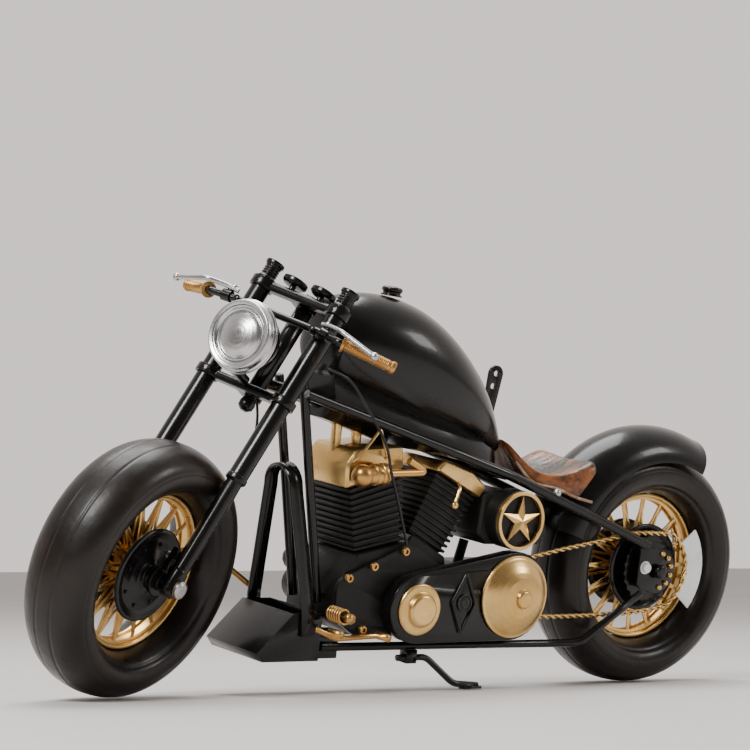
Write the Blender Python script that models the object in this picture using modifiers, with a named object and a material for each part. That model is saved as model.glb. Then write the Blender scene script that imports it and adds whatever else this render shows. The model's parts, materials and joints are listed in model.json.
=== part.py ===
"""Tin chopper motorcycle on its side stand: every piece is one named object.

The drawing is laid out on the upright, straight-ahead machine in drawing units: X runs rearward from the
front axle, Y to the rider's right and Z up from the floor. Two empties then lean the whole machine onto its
stand and turn the front end to the left.
"""
import math

import bmesh
import bpy
from mathutils import Matrix, Vector

# ---- driving dimensions (drawing units, degrees) ----
UNIT = 0.00095            # metres in one drawing unit
GAP = 0.34                # clearance between two touching pieces
LEAN = 10.2               # degrees the machine leans to its left
STEER = 21.2              # degrees the front end is turned to the left
RAKE = 31.4               # degrees between the steering axis and the upright
WHEELBASE = 303.0
TYRE_R = 59.5
TYRE_HALF_WIDTH = 17.5
TYRE_HALF_HEIGHT = 11.4
TRAIL_OFFSET = 8.0        # front axle ahead of the steering axis
FORK_Y = 22.0
FORK_TOP = 157.5
RAIL_R = 2.4
HEAD_TUBE_R = 4.2
STEM_R = 2.4
AXLE_R = 2.0
HUB_DISC_R = 22.0
SPOKE_PAIRS = 8
BLOCK_HALF_WIDTH = 16.0
COVER_FACE_Y = -29.0      # outer face of the primary cover
STAND_Y = -26.0
STAND_R = 1.6
FLOOR_DROP = 0.47         # how far the leant tyres reach below the drawing's floor line

# ---- colours: base colour, roughness, metallic ----
BLACK = ((0.012, 0.012, 0.013), 0.32, 0.55)
SATIN_BLACK = ((0.018, 0.018, 0.019), 0.5, 0.4)
TYRE_BLACK = ((0.016, 0.012, 0.011), 0.45, 0.0)
GOLD = ((0.62, 0.40, 0.16), 0.36, 0.9)
BRONZE = ((0.48, 0.27, 0.11), 0.4, 0.9)
SILVER = ((0.62, 0.62, 0.63), 0.3, 0.95)
LEATHER = ((0.23, 0.09, 0.03), 0.38, 0.0)
WHITE_METAL = ((0.75, 0.78, 0.78), 0.4, 0.3)

for old in list(bpy.data.objects):
    bpy.data.objects.remove(old, do_unlink=True)

parts = bpy.data.collections.new("tin_chopper_motorcycle")
guides = bpy.data.collections.new("guides")
bpy.context.scene.collection.children.link(parts)
bpy.context.scene.collection.children.link(guides)


# ---- small tools ----
def vec(x, y, z):
    """A point of the drawing, in metres."""
    return Vector((x, y, z)) * UNIT


def empty(name, parent=None, location=(0, 0, 0), rotation=(0, 0, 0)):
    node = bpy.data.objects.new(name, None)
    guides.objects.link(node)
    node.parent = parent
    node.location = vec(*location)
    node.rotation_euler = [math.radians(a) for a in rotation]
    return node


def paint(obj, look):
    colour, roughness, metallic = look
    material = bpy.data.materials.new(obj.name)
    material.use_nodes = True
    shader = material.node_tree.nodes["Principled BSDF"]
    shader.inputs["Base Color"].default_value = (*colour, 1.0)
    shader.inputs["Roughness"].default_value = roughness
    shader.inputs["Metallic"].default_value = metallic
    obj.data.materials.append(material)


def place(name, data, parent, look, location=(0, 0, 0), rotation=(0, 0, 0)):
    """Put a mesh or a curve into the parts collection; without a look it is a guide."""
    obj = bpy.data.objects.new(name, data)
    obj.parent = parent
    obj.location = vec(*location)
    obj.rotation_euler = [math.radians(a) for a in rotation]
    if look is None:
        guides.objects.link(obj)
        obj.hide_render = True
        obj.display_type = "WIRE"
    else:
        parts.objects.link(obj)
        paint(obj, look)
    return obj


def box(name, size, parent, look, location, rotation=(0, 0, 0), bevel=0.0):
    mesh = bpy.data.meshes.new(name)
    bm = bmesh.new()
    bmesh.ops.create_cube(bm, size=1.0)
    bmesh.ops.scale(bm, vec=vec(*size), verts=bm.verts)
    bm.to_mesh(mesh)
    bm.free()
    obj = place(name, mesh, parent, look, location, rotation)
    if bevel:
        soften(obj, bevel)
    return obj


def ball(name, radius, parent, look, location, segments=20):
    mesh = bpy.data.meshes.new(name)
    bm = bmesh.new()
    bmesh.ops.create_uvsphere(bm, u_segments=segments, v_segments=segments // 2, radius=radius * UNIT)
    bm.to_mesh(mesh)
    bm.free()
    mesh.shade_smooth()
    return place(name, mesh, parent, look, location)


def rod(name, start, end, radius, parent, look, sides=16):
    """A straight round bar between two points of the drawing."""
    start, end = Vector(start), Vector(end)
    axis = end - start
    mesh = bpy.data.meshes.new(name)
    bm = bmesh.new()
    bmesh.ops.create_cone(bm, cap_ends=True, segments=sides, radius1=radius * UNIT, radius2=radius * UNIT,
                          depth=axis.length * UNIT)
    bm.to_mesh(mesh)
    bm.free()
    mesh.shade_smooth()
    mesh.set_sharp_from_angle(angle=math.radians(40))
    turn = axis.to_track_quat("Z", "Y").to_euler()
    middle = (start + end) / 2
    return place(name, mesh, parent, look, middle, [math.degrees(a) for a in turn])


def soften(obj, width, segments=1):
    bevel = obj.modifiers.new("edges", "BEVEL")
    bevel.width = width * UNIT
    bevel.segments = segments
    bevel.limit_method = "ANGLE"
    bevel.angle_limit = math.radians(35)
    return obj


def turned(name, profile, parent, look, location=(0, 0, 0), rotation=(0, 0, 0), steps=32, closed=False):
    """A turned piece: the profile's (radius, height) points run down its outer side."""
    mesh = bpy.data.meshes.new(name)
    points = [vec(radius, 0, height) for radius, height in profile]
    last = len(points) - 1
    edges = [(i, i + 1) for i in range(last)]
    if closed:
        edges.append((last, 0))
    mesh.from_pydata(points, edges, [])
    obj = place(name, mesh, parent, look, location, rotation)
    screw = obj.modifiers.new("turn", "SCREW")
    screw.steps = steps
    screw.render_steps = steps
    screw.use_merge_vertices = True
    screw.merge_threshold = 0.00001
    return obj


def outline_curve(name, outlines, thickness, parent, look, location, rotation, bevel=0.0):
    """A flat plate: the first outline is its edge and the others are holes."""
    curve = bpy.data.curves.new(name, "CURVE")
    curve.dimensions = "2D"
    curve.fill_mode = "BOTH"
    curve.extrude = thickness / 2 * UNIT
    for outline in outlines:
        spline = curve.splines.new("POLY")
        spline.points.add(len(outline) - 1)
        for point, (x, y) in zip(spline.points, outline):
            point.co = (*vec(x, y, 0), 1.0)
        spline.use_cyclic_u = True
    obj = place(name, curve, parent, look, location, rotation)
    if bevel:
        weld = obj.modifiers.new("weld", "WELD")
        weld.merge_threshold = 0.00001
        soften(obj, bevel)
    return obj


def wire(name, points, radius, parent, look, sides=2, cyclic=False, location=(0, 0, 0)):
    """A tube, rail or wire through the given points."""
    curve = bpy.data.curves.new(name, "CURVE")
    curve.dimensions = "3D"
    curve.bevel_depth = radius * UNIT
    curve.bevel_resolution = sides
    curve.use_fill_caps = True
    spline = curve.splines.new("POLY")
    spline.points.add(len(points) - 1)
    for point, place_at in zip(spline.points, points):
        point.co = (*vec(*place_at), 1.0)
    spline.use_cyclic_u = cyclic
    spline.use_smooth = True
    return place(name, curve, parent, look, location)


def as_mesh(obj):
    """Swap a curve, or an object with modifiers, for the closed mesh that it makes."""
    bpy.context.view_layer.update()
    graph = bpy.context.evaluated_depsgraph_get()
    mesh = bpy.data.meshes.new_from_object(obj.evaluated_get(graph))
    bm = bmesh.new()
    bm.from_mesh(mesh)
    bmesh.ops.remove_doubles(bm, verts=bm.verts, dist=0.000005)
    bmesh.ops.recalc_face_normals(bm, faces=bm.faces)
    bm.to_mesh(mesh)
    bm.free()
    name, parent, collection = obj.name, obj.parent, obj.users_collection[0]
    matrix = obj.matrix_world.copy()
    display, hidden = obj.display_type, obj.hide_render
    bpy.data.objects.remove(obj, do_unlink=True)
    solid = bpy.data.objects.new(name, mesh)
    collection.objects.link(solid)
    solid.parent = parent
    bpy.context.view_layer.update()
    solid.matrix_world = matrix
    solid.display_type = display
    solid.hide_render = hidden
    return solid


def combine(target, tools, operation="UNION"):
    """Join tools to the target, or cut them from it, as exact Booleans."""
    for tool in tools:
        step = target.modifiers.new(operation.lower(), "BOOLEAN")
        step.operation = operation
        step.object = tool
        step.solver = "EXACT"
    return target


def arc(centre, radius, start, end, count):
    """Points on a circle, angles in degrees."""
    steps = [math.radians(start + (end - start) * i / (count - 1)) for i in range(count)]
    return [(centre[0] + radius * math.cos(a), centre[1] + radius * math.sin(a)) for a in steps]


def ring(centre, radius, count=28):
    return arc(centre, radius, 0, 360 - 360 / count, count)


def rounded(points, radius, count=4):
    """Round the corners of a path of 3-D points with short arcs."""
    points = [Vector(p) for p in points]
    path = [points[0]]
    for before, corner, after in zip(points, points[1:], points[2:]):
        back = (before - corner).normalized()
        ahead = (after - corner).normalized()
        start = corner + back * radius
        end = corner + ahead * radius
        for i in range(count + 1):
            t = i / count
            path.append(start * (1 - t) ** 2 + corner * 2 * t * (1 - t) + end * t * t)
    path.append(points[-1])
    return path


def smooth_path(points, per_span=4):
    """A Catmull-Rom curve through the points."""
    points = [Vector(p) for p in points]
    ends = [points[0] * 2 - points[1]] + points + [points[-1] * 2 - points[-2]]
    path = []
    for a, b, c, d in zip(ends, ends[1:], ends[2:], ends[3:]):
        for i in range(per_span):
            t = i / per_span
            path.append(0.5 * (b * 2 + (c - a) * t + (a * 2 - b * 5 + c * 4 - d) * t * t
                               + (b * 3 - a - c * 3 + d) * t ** 3))
    path.append(points[-1])
    return path


SIDE_ON = (90, 0, 0)      # turns a drawing's X-Y outline into X-Z, its thickness along Y


def side_plate(name, outlines, y_near, y_far, parent, look, bevel=0.0):
    """A plate drawn in side view (X, Z) that fills y_near..y_far."""
    middle = (y_near + y_far) / 2
    return outline_curve(name, outlines, abs(y_far - y_near), parent, look, (0, middle, 0), SIDE_ON, bevel)


def side_turned(name, profile, parent, look, x, z, steps=32, closed=False):
    """A turned piece on an axis along Y: a profile's height h is y = -h, so it grows toward the left side."""
    return turned(name, profile, parent, look, (x, 0, z), SIDE_ON, steps, closed)


# ---- the two postures: lean and steering ----
machine = empty("machine", rotation=(LEAN, 0, 0))
rake_sine = math.sin(math.radians(RAKE))
rake_cosine = math.cos(math.radians(RAKE))
front_axle_lift = -0.27   # the turned front wheel would stand this much too high
axis_foot = (TRAIL_OFFSET * rake_cosine, 0, TYRE_R + front_axle_lift - TRAIL_OFFSET * rake_sine)
head = empty("head", machine, axis_foot, (0, RAKE, 0))
steering = empty("steering_axis", machine, axis_foot)
steering.rotation_euler = (Matrix.Rotation(math.radians(RAKE), 3, "Y")
                           @ Matrix.Rotation(math.radians(STEER), 3, "Z")).to_euler()
front_axis = empty("front_wheel_axis", steering, (-TRAIL_OFFSET, 0, 0))
rear_axis = empty("rear_wheel_axis", machine, (WHEELBASE, 0, TYRE_R))


# ---- wheels: drawn around their own axle ----
def tyre_section(count=12):
    power = 2 / 2.4
    section = []
    for i in range(count):
        a = 2 * math.pi * i / count
        c, s = math.cos(a), math.sin(a)
        r = TYRE_R - TYRE_HALF_HEIGHT + TYRE_HALF_HEIGHT * math.copysign(abs(c) ** power, c)
        y = TYRE_HALF_WIDTH * math.copysign(abs(s) ** power, s)
        section.append((r, -y))
    return section


def tyre(name, axis):
    return turned(name, tyre_section(), axis, TYRE_BLACK, rotation=SIDE_ON, steps=28, closed=True)


RIM_OUT = TYRE_R - 2 * TYRE_HALF_HEIGHT - GAP
RIM_IN = RIM_OUT - 2.2
SPOKE_FOOT = 11.0
LATTICE_Y = 4.4


def lattice_windows():
    """The triangular windows between zigzag spokes of a stamped disc."""
    windows = []
    pitch = 2 * math.pi / SPOKE_PAIRS
    half_bar = 0.75
    inner, outer = SPOKE_FOOT, RIM_IN + 0.4
    for i in range(2 * SPOKE_PAIRS):
        apex_r, base_r = (inner, outer) if i % 2 else (outer, inner)
        mid = i * pitch / 2
        apex = Vector((apex_r * math.cos(mid), apex_r * math.sin(mid)))
        left = Vector((base_r * math.cos(mid - pitch / 2), base_r * math.sin(mid - pitch / 2)))
        right = Vector((base_r * math.cos(mid + pitch / 2), base_r * math.sin(mid + pitch / 2)))
        spread = (left - right).length
        height = abs(outer - inner)
        slack = half_bar * math.hypot(height, spread / 2) / (spread / 2)
        inward = (apex - (left + right) / 2).normalized()
        tip = apex - inward * slack * 1.05
        share = 1 - slack * 1.05 / height
        side = (left - right) / 2 * share
        foot = (left + right) / 2 + inward * 0.2
        if (tip - foot).dot(inward) > 0.5:
            windows.append([tuple(tip), tuple(foot + side), tuple(foot - side)])
    return windows


def spokes(name, axis):
    """Rim band, hub ring and two stamped spoke discs as one gold piece."""
    rim = turned(name, [(RIM_OUT, 6.2), (RIM_OUT, -6.2), (RIM_IN, -6.2), (RIM_IN, 6.2)], axis, GOLD,
                 rotation=SIDE_ON, steps=20, closed=True)
    core = [(SPOKE_FOOT + 0.6, 5.2), (SPOKE_FOOT + 0.6, -5.2), (8.4, -5.2), (8.4, 5.2)]
    tools = [turned(name + "_core", core, axis, None, rotation=SIDE_ON, steps=16, closed=True)]
    edge = ring((0, 0), RIM_IN + 1.0, 20)
    bore = ring((0, 0), 9.8, 16)
    for side, y in (("left", -LATTICE_Y), ("right", LATTICE_Y)):
        disc = outline_curve(name + "_" + side, [edge, bore] + lattice_windows(), 1.1, axis, None,
                             (0, y, 0), SIDE_ON)
        tools.append(as_mesh(disc))
    return combine(as_mesh(rim), tools)


def hub(name, axis, reach):
    """Spool-shaped hub: two dished discs outside the spokes, spacers out to the fork or plates."""
    side = [(AXLE_R + GAP, reach), (4.0, reach), (4.0, 12.0), (8.2, 8.8), (17.0, 8.2), (20.3, 9.6),
            (HUB_DISC_R, 8.4), (20.4, 5.6), (8.0, 5.6)]
    profile = side + [(r, -h) for r, h in reversed(side)]
    return turned(name, profile, axis, BLACK, rotation=SIDE_ON, steps=18, closed=True)


tyre("front_tyre", front_axis)
spokes("front_spokes", front_axis)
hub("front_hub", front_axis, 17.7)
tyre("rear_tyre", rear_axis)
spokes("rear_spokes", rear_axis)
hub("rear_hub", rear_axis, 18.0)


def sprocket():
    """Toothed ring beside the rear hub's left disc."""
    teeth = 24
    edge = []
    for i in range(teeth * 2):
        radius = 17.4 if i % 2 else 16.2
        a = math.pi * i / teeth
        edge.append((radius * math.cos(a), radius * math.sin(a)))
    return outline_curve("rear_sprocket", [edge, ring((0, 0), 4.0 + GAP, 24)], 1.2, rear_axis, BLACK,
                         (0, -13.4, 0), SIDE_ON)


sprocket()


# ---- steering group: drawn in the steering axis' own frame, Z up along it ----
def fork_leg(name, y):
    profile = [(0, FORK_TOP - 1.0), (2.6, FORK_TOP - 1.0), (2.6, FORK_TOP), (4.0, FORK_TOP),
               (3.9, FORK_TOP - 1.6), (3.3, FORK_TOP - 2.2), (3.3, 149.0), (4.6, 148.6), (4.6, 55.2),
               (3.8, 54.8), (3.8, -4.0), (2.4, -5.4), (0, -5.4)]
    leg = as_mesh(turned(name, profile, steering, BLACK, (-TRAIL_OFFSET, y, 0), steps=14))
    bore = rod(name + "_bore", (-TRAIL_OFFSET, y - 9, 0), (-TRAIL_OFFSET, y + 9, 0), AXLE_R + GAP,
               steering, None)
    combine(leg, [bore], "DIFFERENCE")
    if y < 0:
        combine(leg, brake_arm(y))
    return leg


def brake_arm(y):
    """Torque arm between the hub's dish and the left fork leg, bolted to the leg above the axle."""
    x = -TRAIL_OFFSET
    edge = [(x + 2.6, 16.6), (x - 2.6, 16.6)] + arc((x, 0), 7.4, 130, 410, 20)
    plate = side_plate("brake_arm", [edge, ring((x, 0), 4.0 + GAP, 20)], -13.8, -16.0, steering, None)
    return [as_mesh(plate), rod("arm_bolt", (x, -13.0, 13.2), (x, y, 13.2), 1.6, steering, None, 12)]


def fork_clamp(name, z, thickness, bored):
    """A bar with a ring round each fork tube and a bored boss on the stem."""
    collar = 6.0
    bar = 2.2
    x = -TRAIL_OFFSET
    reach = math.degrees(math.asin(bar / collar))
    boss = 5.2
    edge = arc((x, FORK_Y), collar, -90 + reach, 270 - reach, 12)
    edge += arc((x, -FORK_Y), collar, 90 + reach, 450 - reach, 12)
    tongue = [(x + bar, -boss), (0, -boss)]
    edge += [(x + bar, -FORK_Y + collar * math.cos(math.radians(reach)))]
    edge += tongue
    edge += arc((0, 0), boss, -90 + 1, 90 - 1, 12)
    edge += [(0, boss), (x + bar, boss)]
    holes = [ring((x, FORK_Y), 4.6 + GAP, 14), ring((x, -FORK_Y), 4.6 + GAP, 14)]
    if bored:
        holes.append(ring((0, 0), STEM_R + GAP, 20))
    return outline_curve(name, [tidy_outline(edge)] + holes, thickness, steering, BLACK, (0, 0, z),
                         (0, 0, 0))


def tidy_outline(points):
    """Drop points that repeat the one before."""
    kept = []
    for point in points:
        if not kept or (Vector(point) - Vector(kept[-1])).length > 0.05:
            kept.append(point)
    if (Vector(kept[0]) - Vector(kept[-1])).length < 0.05:
        kept.pop()
    return kept


UPPER_CLAMP_Z = 145.6
LOWER_CLAMP_Z = 97.0
for side, y in (("left", -FORK_Y), ("right", FORK_Y)):
    fork_leg("fork_leg_" + side, y)
fork_clamp("upper_fork_clamp", UPPER_CLAMP_Z, 4.4, True)


def lower_clamp_and_stem():
    """The lower clamp with its stem through the head tube, and a round nut at each end."""
    clamp = as_mesh(fork_clamp("lower_fork_clamp", LOWER_CLAMP_Z, 4.0, False))
    low = LOWER_CLAMP_Z - 1.9
    high = UPPER_CLAMP_Z + 2.2 + GAP
    profile = [(0, high + 2.4), (3.4, high + 2.4), (3.8, high + 1.8), (3.8, high), (STEM_R, high),
               (STEM_R, low), (3.0, low), (3.9, low - 2.2), (3.6, low - 4.8), (1.6, low - 6.4),
               (0, low - 6.4)]
    return combine(clamp, [as_mesh(turned("stem", profile, steering, None, steps=12))])


lower_clamp_and_stem()


def front_axle():
    profile = [(0, 29.0), (3.6, 29.0), (4.2, 28.2), (4.2, 26.2), (AXLE_R, 26.2),
               (AXLE_R, -26.2), (4.2, -26.2), (4.2, -28.2), (3.6, -29.0), (0, -29.0)]
    return turned("front_axle", profile, front_axis, SILVER, rotation=SIDE_ON, steps=14)


front_axle()


# handlebar, grips and levers
BAR_R = 1.7
BAR_MID = (-17.4, 0, 131.4)
GRIP_IN = (-18.2, 39.0, 130.2)
GRIP_OUT = (-4.0, 61.0, 133.0)


def mirrored(point, side):
    return (point[0], point[1] * side, point[2])


def handlebar():
    """Swept-back bar with two short risers to the fork tubes and a perch for each lever."""
    bend = (-19.1, 37.6, 130.0)
    half = [(BAR_MID[0], 24.0, BAR_MID[2]), bend, GRIP_OUT]
    path = [mirrored(p, -1) for p in reversed(half)] + half
    bar = as_mesh(wire("handlebar", rounded(path, 1.2, 2), BAR_R, steering, BLACK, 2))
    tools = []
    for side in (-1, 1):
        fork_face = -TRAIL_OFFSET - 4.6 - GAP
        tools.append(box("riser", (4.2, 3.4, 4.0), steering, None,
                         (fork_face - 2.1, side * FORK_Y, BAR_MID[2] - 0.2)))
        tools.append(rod("perch", (BAR_MID[0] - 0.2, side * 26.6, BAR_MID[2] - 0.1),
                         (BAR_MID[0] - 0.6, side * 31.0, BAR_MID[2] - 0.5), 2.8, steering, None))
    return combine(bar, tools)


def grip(name, side):
    """Ribbed sleeve with a flange at its inner end, on a bore that clears the bar."""
    start, end = Vector(mirrored(GRIP_IN, side)), Vector(mirrored(GRIP_OUT, side))
    length = (end - start).length - 0.2
    bore = BAR_R + GAP
    outer = [(3.3, 0.0), (3.3, 1.4), (2.5, 1.7)]
    ribs = 2
    for i in range(ribs):
        z = 4.0 + i * (length - 6.0) / ribs
        outer += [(2.5, z), (2.85, z + 0.6), (2.85, z + 1.4), (2.5, z + 2.0)]
    outer += [(2.5, length - 1.4), (2.95, length - 1.2), (2.95, length)]
    profile = list(reversed(outer)) + [(bore, 0.0), (bore, length)]
    turn = (end - start).to_track_quat("Z", "Y").to_euler()
    return turned(name, profile, steering, BRONZE, start, [math.degrees(a) for a in turn], 9, True)


def lever_points(side):
    """The lever's bends: over the bar, ahead of the grip's flange, down to the ball at its tip."""
    bends = [(-17.6, 24.6, 135.2), (-20.0, 31.0, 135.0), (-24.0, 39.5, 133.4), (-18.8, 57.8, 130.0)]
    return [mirrored(p, side) for p in bends]


def lever(name, side):
    points = lever_points(side)
    pivot = empty(name + "_pivot", steering, (BAR_MID[0] - 0.4, side * 28.6, 135.0))
    shift = Vector((BAR_MID[0] - 0.4, side * 28.6, 135.0))
    local = [Vector(p) - shift for p in points]
    blade = as_mesh(wire(name, rounded(local, 2.0, 3), 0.95, pivot, SILVER, 2))
    tip = ball(name + "_tip", 1.7, pivot, None, local[-1], 12)
    return combine(blade, [tip])


handlebar()
grip("grip_left", -1)
grip("grip_right", 1)
lever("clutch_lever", -1)
lever("brake_lever", 1)


def gauge(name, y):
    low = UPPER_CLAMP_Z + 2.2 + GAP
    profile = [(0, low + 5.0), (5.4, low + 5.0), (5.6, low + 5.6), (6.2, low + 5.4), (6.2, low + 3.4),
               (5.0, low + 2.4), (1.5, low + 2.0), (1.5, low), (0, low)]
    return turned(name, profile, steering, BLACK, (-6.2, y, 0), steps=12)


gauge("gauge_left", -8.2)
gauge("gauge_right", 8.2)

# headlight: its own empty looks forward along -X, tipped down in the steering frame
LAMP_TILT = 16.4
lamp = empty("lamp", steering, (-33.6, 0, 111.3), (0, -90 - LAMP_TILT, 0))


def headlight():
    """Bucket, bezel and domed lens on the lamp's axis, front face at height zero."""
    bucket = turned("headlight_bucket",
                    [(0, -5.4), (14.6, -5.4), (15.0, -6.4), (14.6, -10.0), (12.4, -15.0),
                     (8.4, -18.6), (3.6, -20.0), (0, -20.2)], lamp, BLACK, steps=24)
    strap = box("lamp_strap", (13.4, 3.6, 4.4), steering, None, (-17.3, 0, LOWER_CLAMP_Z + 1.8))
    bucket = combine(as_mesh(bucket), [strap])
    turned("headlight_bezel",
           [(14.2, 1.0), (15.4, 1.2), (16.2, 0.2), (16.6, -3.2), (17.2, -3.6), (17.2, -4.6),
            (16.8, -5.0), (14.0, -5.0), (14.0, 0.4)], lamp, SILVER, steps=24, closed=True)
    dome = [(0, 2.6), (4.0, 2.3), (8.0, 1.4), (11.0, 0.2), (12.4, -0.8), (13.6, -0.8), (13.6, -4.0),
            (0, -4.0)]
    turned("headlight_lens", dome, lamp, SILVER, steps=24)


headlight()

CABLE_R = 0.62


def brake_cable():
    points = [(-8.0, -8.5, 94.4), (-5.2, -14.0, 84.0), (-1.9, -19.6, 66.0), (-2.6, -22.4, 50.0),
              (-2.9, -22.2, 28.0), (-3.0, -19.6, 12.0), (-1.2, -17.4, 6.4)]
    return wire("brake_cable", smooth_path(points, 4), CABLE_R, steering, BLACK)


brake_cable()


# ---- frame tubes ----
def head_point(x, y, z):
    """A point of the unsteered head frame, in the machine's drawing."""
    return (axis_foot[0] + x * rake_cosine + z * rake_sine, y,
            axis_foot[2] - x * rake_sine + z * rake_cosine)


SPINE_FRONT = (84.0, 0, 139.0)
SPINE_REAR = (199.0, 0, 105.6)
RAIL_PATH = [(78.0, 14.0, 141.0), (168.0, 16.5, 115.6), (198.0, 21.6, 106.4), (243.0, 22.4, 90.6),
             (292.0, 22.4, 72.6)]
CRADLE_PATH = [(98.0, 18.0, 24.4), (236.0, 18.2, 23.6), (254.0, 22.6, 24.4), (272.0, 22.6, 36.6),
               (290.5, 22.6, 48.6)]


def spine():
    """Backbone under the tank, with the head tube at its front and two cross tubes to the rails."""
    back = as_mesh(wire("frame_spine", [head_point(0, 0, 104.5), SPINE_FRONT, SPINE_REAR], 2.8, machine,
                        BLACK, 2))
    low = LOWER_CLAMP_Z + 2.0 + GAP
    high = UPPER_CLAMP_Z - 2.2 - GAP
    tube = turned("head_tube", [(0, high), (HEAD_TUBE_R, high), (HEAD_TUBE_R, low), (0, low)], head, None,
                  steps=16)
    bore = rod("stem_bore", head_point(0, 0, low - 6), head_point(0, 0, high + 6), STEM_R + GAP, machine,
               None, 16)
    reach = 14.0 - RAIL_R - GAP
    cross = rod("front_cross", (SPINE_FRONT[0], -reach, SPINE_FRONT[2]),
                (SPINE_FRONT[0], reach, SPINE_FRONT[2]),
                2.4, machine, None)
    reach = 21.6 - RAIL_R - GAP - 0.2
    rear = rod("rear_cross", (197.5, -reach, 106.2), (197.5, reach, 106.2), 2.4, machine, None)
    combine(back, [cross, rear, as_mesh(tube)])
    return combine(back, [bore], "DIFFERENCE")


STAND_PIVOT = (150.0, -19.0, 18.6)


def cradle_tubes():
    """Lower rails; the left one carries the clip for the side stand's pivot run."""
    paths = [rounded([mirrored(p, sign) for p in CRADLE_PATH], 5.0) for sign in (-1, 1)]
    left = as_mesh(wire("cradle_tube_left", paths[0], 2.0, machine, BLACK))
    wire("cradle_tube_right", paths[1], 2.0, machine, BLACK)
    x, y, z = STAND_PIVOT
    ear = box("stand_ear", (6.0, 5.6, 6.4), machine, None, (x, y + 0.3, z + 0.8))
    bore = rod("pivot_bore", (x - 6, y, z), (x + 6, y, z), STAND_R + GAP, machine, None)
    combine(left, [ear])
    return combine(left, [bore], "DIFFERENCE")


def frame_tubes():
    for side, sign in (("left", -1), ("right", 1)):
        wire("frame_rail_" + side, rounded([mirrored(p, sign) for p in RAIL_PATH], 5.0), RAIL_R, machine,
             BLACK)
        wire("down_tube_" + side, [mirrored((80.6, 9.5, 135.2), sign), mirrored((99.6, 9.5, 44.0), sign)],
             2.2,
             machine, BLACK)


spine()
frame_tubes()
cradle_tubes()


# ---- tank and seat: coarse cages smoothed by subdivision ----
def loft(name, stations, parent, look, levels=1):
    """Loft rings of points from front to back, close both ends and smooth the cage."""
    mesh = bpy.data.meshes.new(name)
    bm = bmesh.new()
    rings = [[bm.verts.new(vec(*p)) for p in station] for station in stations]
    for front, back in zip(rings, rings[1:]):
        count = len(front)
        for i in range(count):
            j = (i + 1) % count
            bm.faces.new((front[i], front[j], back[j], back[i]))
    bm.faces.new(list(reversed(rings[0])))
    bm.faces.new(rings[-1])
    bmesh.ops.recalc_face_normals(bm, faces=bm.faces)
    bm.to_mesh(mesh)
    bm.free()
    mesh.shade_smooth()
    obj = place(name, mesh, parent, look)
    smooth = obj.modifiers.new("smooth", "SUBSURF")
    smooth.levels = levels
    smooth.render_levels = levels
    return obj


def tank():
    """Teardrop tank: full at the front, tapering down to a point ahead of the seat."""
    rows = [(90.5, 181.0, 152.0, 14.0), (95.0, 187.0, 147.0, 20.0), (116.0, 190.5, 139.0, 27.0),
            (140.0, 187.5, 131.5, 30.0), (164.0, 174.0, 124.0, 28.0), (186.0, 152.0, 117.0, 19.0),
            (199.0, 131.0, 113.6, 9.0), (204.0, 122.0, 114.6, 5.0)]
    stations = []
    for x, top, bottom, half in rows:
        height = top - bottom
        side = [(0.0, top), (0.62 * half, top - 0.10 * height), (half, bottom + 0.58 * height),
                (0.94 * half, bottom + 0.24 * height), (0.5 * half, bottom)]
        right = [(x, y, z) for y, z in side]
        left = [(x, -y, z) for y, z in reversed(side[1:])]
        stations.append(right + left)
    return loft("fuel_tank", stations, machine, BLACK)


def filler_cap():
    profile = [(0, 4.4), (4.4, 4.4), (5.0, 3.8), (5.0, 2.6), (4.3, 2.2), (4.3, 0.0), (0, 0.0)]
    return turned("filler_cap", profile, machine, BLACK, (131.0, 0, 187.0), (0, 5, 0), 28)


def seat():
    """Sprung-saddle shape: narrow raised nose, dip, then wide rolled rear."""
    rows = [(205.8, 122.5, 119.0, 5.0, 0.0, 119.4), (210.0, 117.0, 110.4, 11.0, 0.0, 111.0),
            (217.0, 108.0, 101.5, 17.5, 1.5, 102.0), (228.0, 105.0, 99.4, 22.0, 4.0, 99.4),
            (240.0, 107.5, 95.4, 24.4, 6.0, 96.6), (250.0, 113.0, 93.2, 25.0, 4.0, 108.2),
            (253.6, 114.0, 94.6, 24.0, 2.0, 111.6)]
    stations = []
    for x, top, low, half, dish, belly in rows:
        right = [(x, 0, top - dish * 0.4), (x, 0.55 * half, top), (x, 0.95 * half, top + dish * 0.5),
                 (x, half, (top + low) / 2), (x, 0.95 * half, low), (x, 0.82 * half, low + 0.6),
                 (x, 0.5 * half, belly - 0.6), (x, 0.0, belly)]
        left = [(x, -y, z) for x, y, z in reversed(right[1:-1])]
        stations.append(right + left)
    cushion = as_mesh(loft("seat", stations, machine, LEATHER))
    room = rod("fender_room", (WHEELBASE, -20.0, TYRE_R), (WHEELBASE, 20.0, TYRE_R), 71.6, machine, None,
               72)
    return combine(cushion, [room], "DIFFERENCE")


def rear_fender():
    """Deep valanced guard: an arched section turned part of the way round the rear axle."""
    mesh = bpy.data.meshes.new("rear_fender")
    count = 7
    points = []
    for i in range(count):
        a = math.radians(-90 + 180 * i / (count - 1))
        points.append(vec(54.5 + 15.5 * math.cos(a), 0, 18.8 * math.sin(a)))
    mesh.from_pydata(points, [(i, i + 1) for i in range(count - 1)], [])
    obj = place("rear_fender", mesh, machine, BLACK, (WHEELBASE, 0, TYRE_R))
    start, sweep = 66.0, 97.0
    obj.rotation_euler = (Matrix.Rotation(math.radians(90), 3, "X")
                          @ Matrix.Rotation(math.radians(start), 3, "Z")).to_euler()
    screw = obj.modifiers.new("turn", "SCREW")
    screw.angle = math.radians(sweep)
    screw.steps = 16
    screw.render_steps = 16
    shell = obj.modifiers.new("sheet", "SOLIDIFY")
    shell.thickness = 1.3 * UNIT
    shell.offset = 0.0
    return obj


tank()
filler_cap()
seat()
rear_fender()


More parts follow.
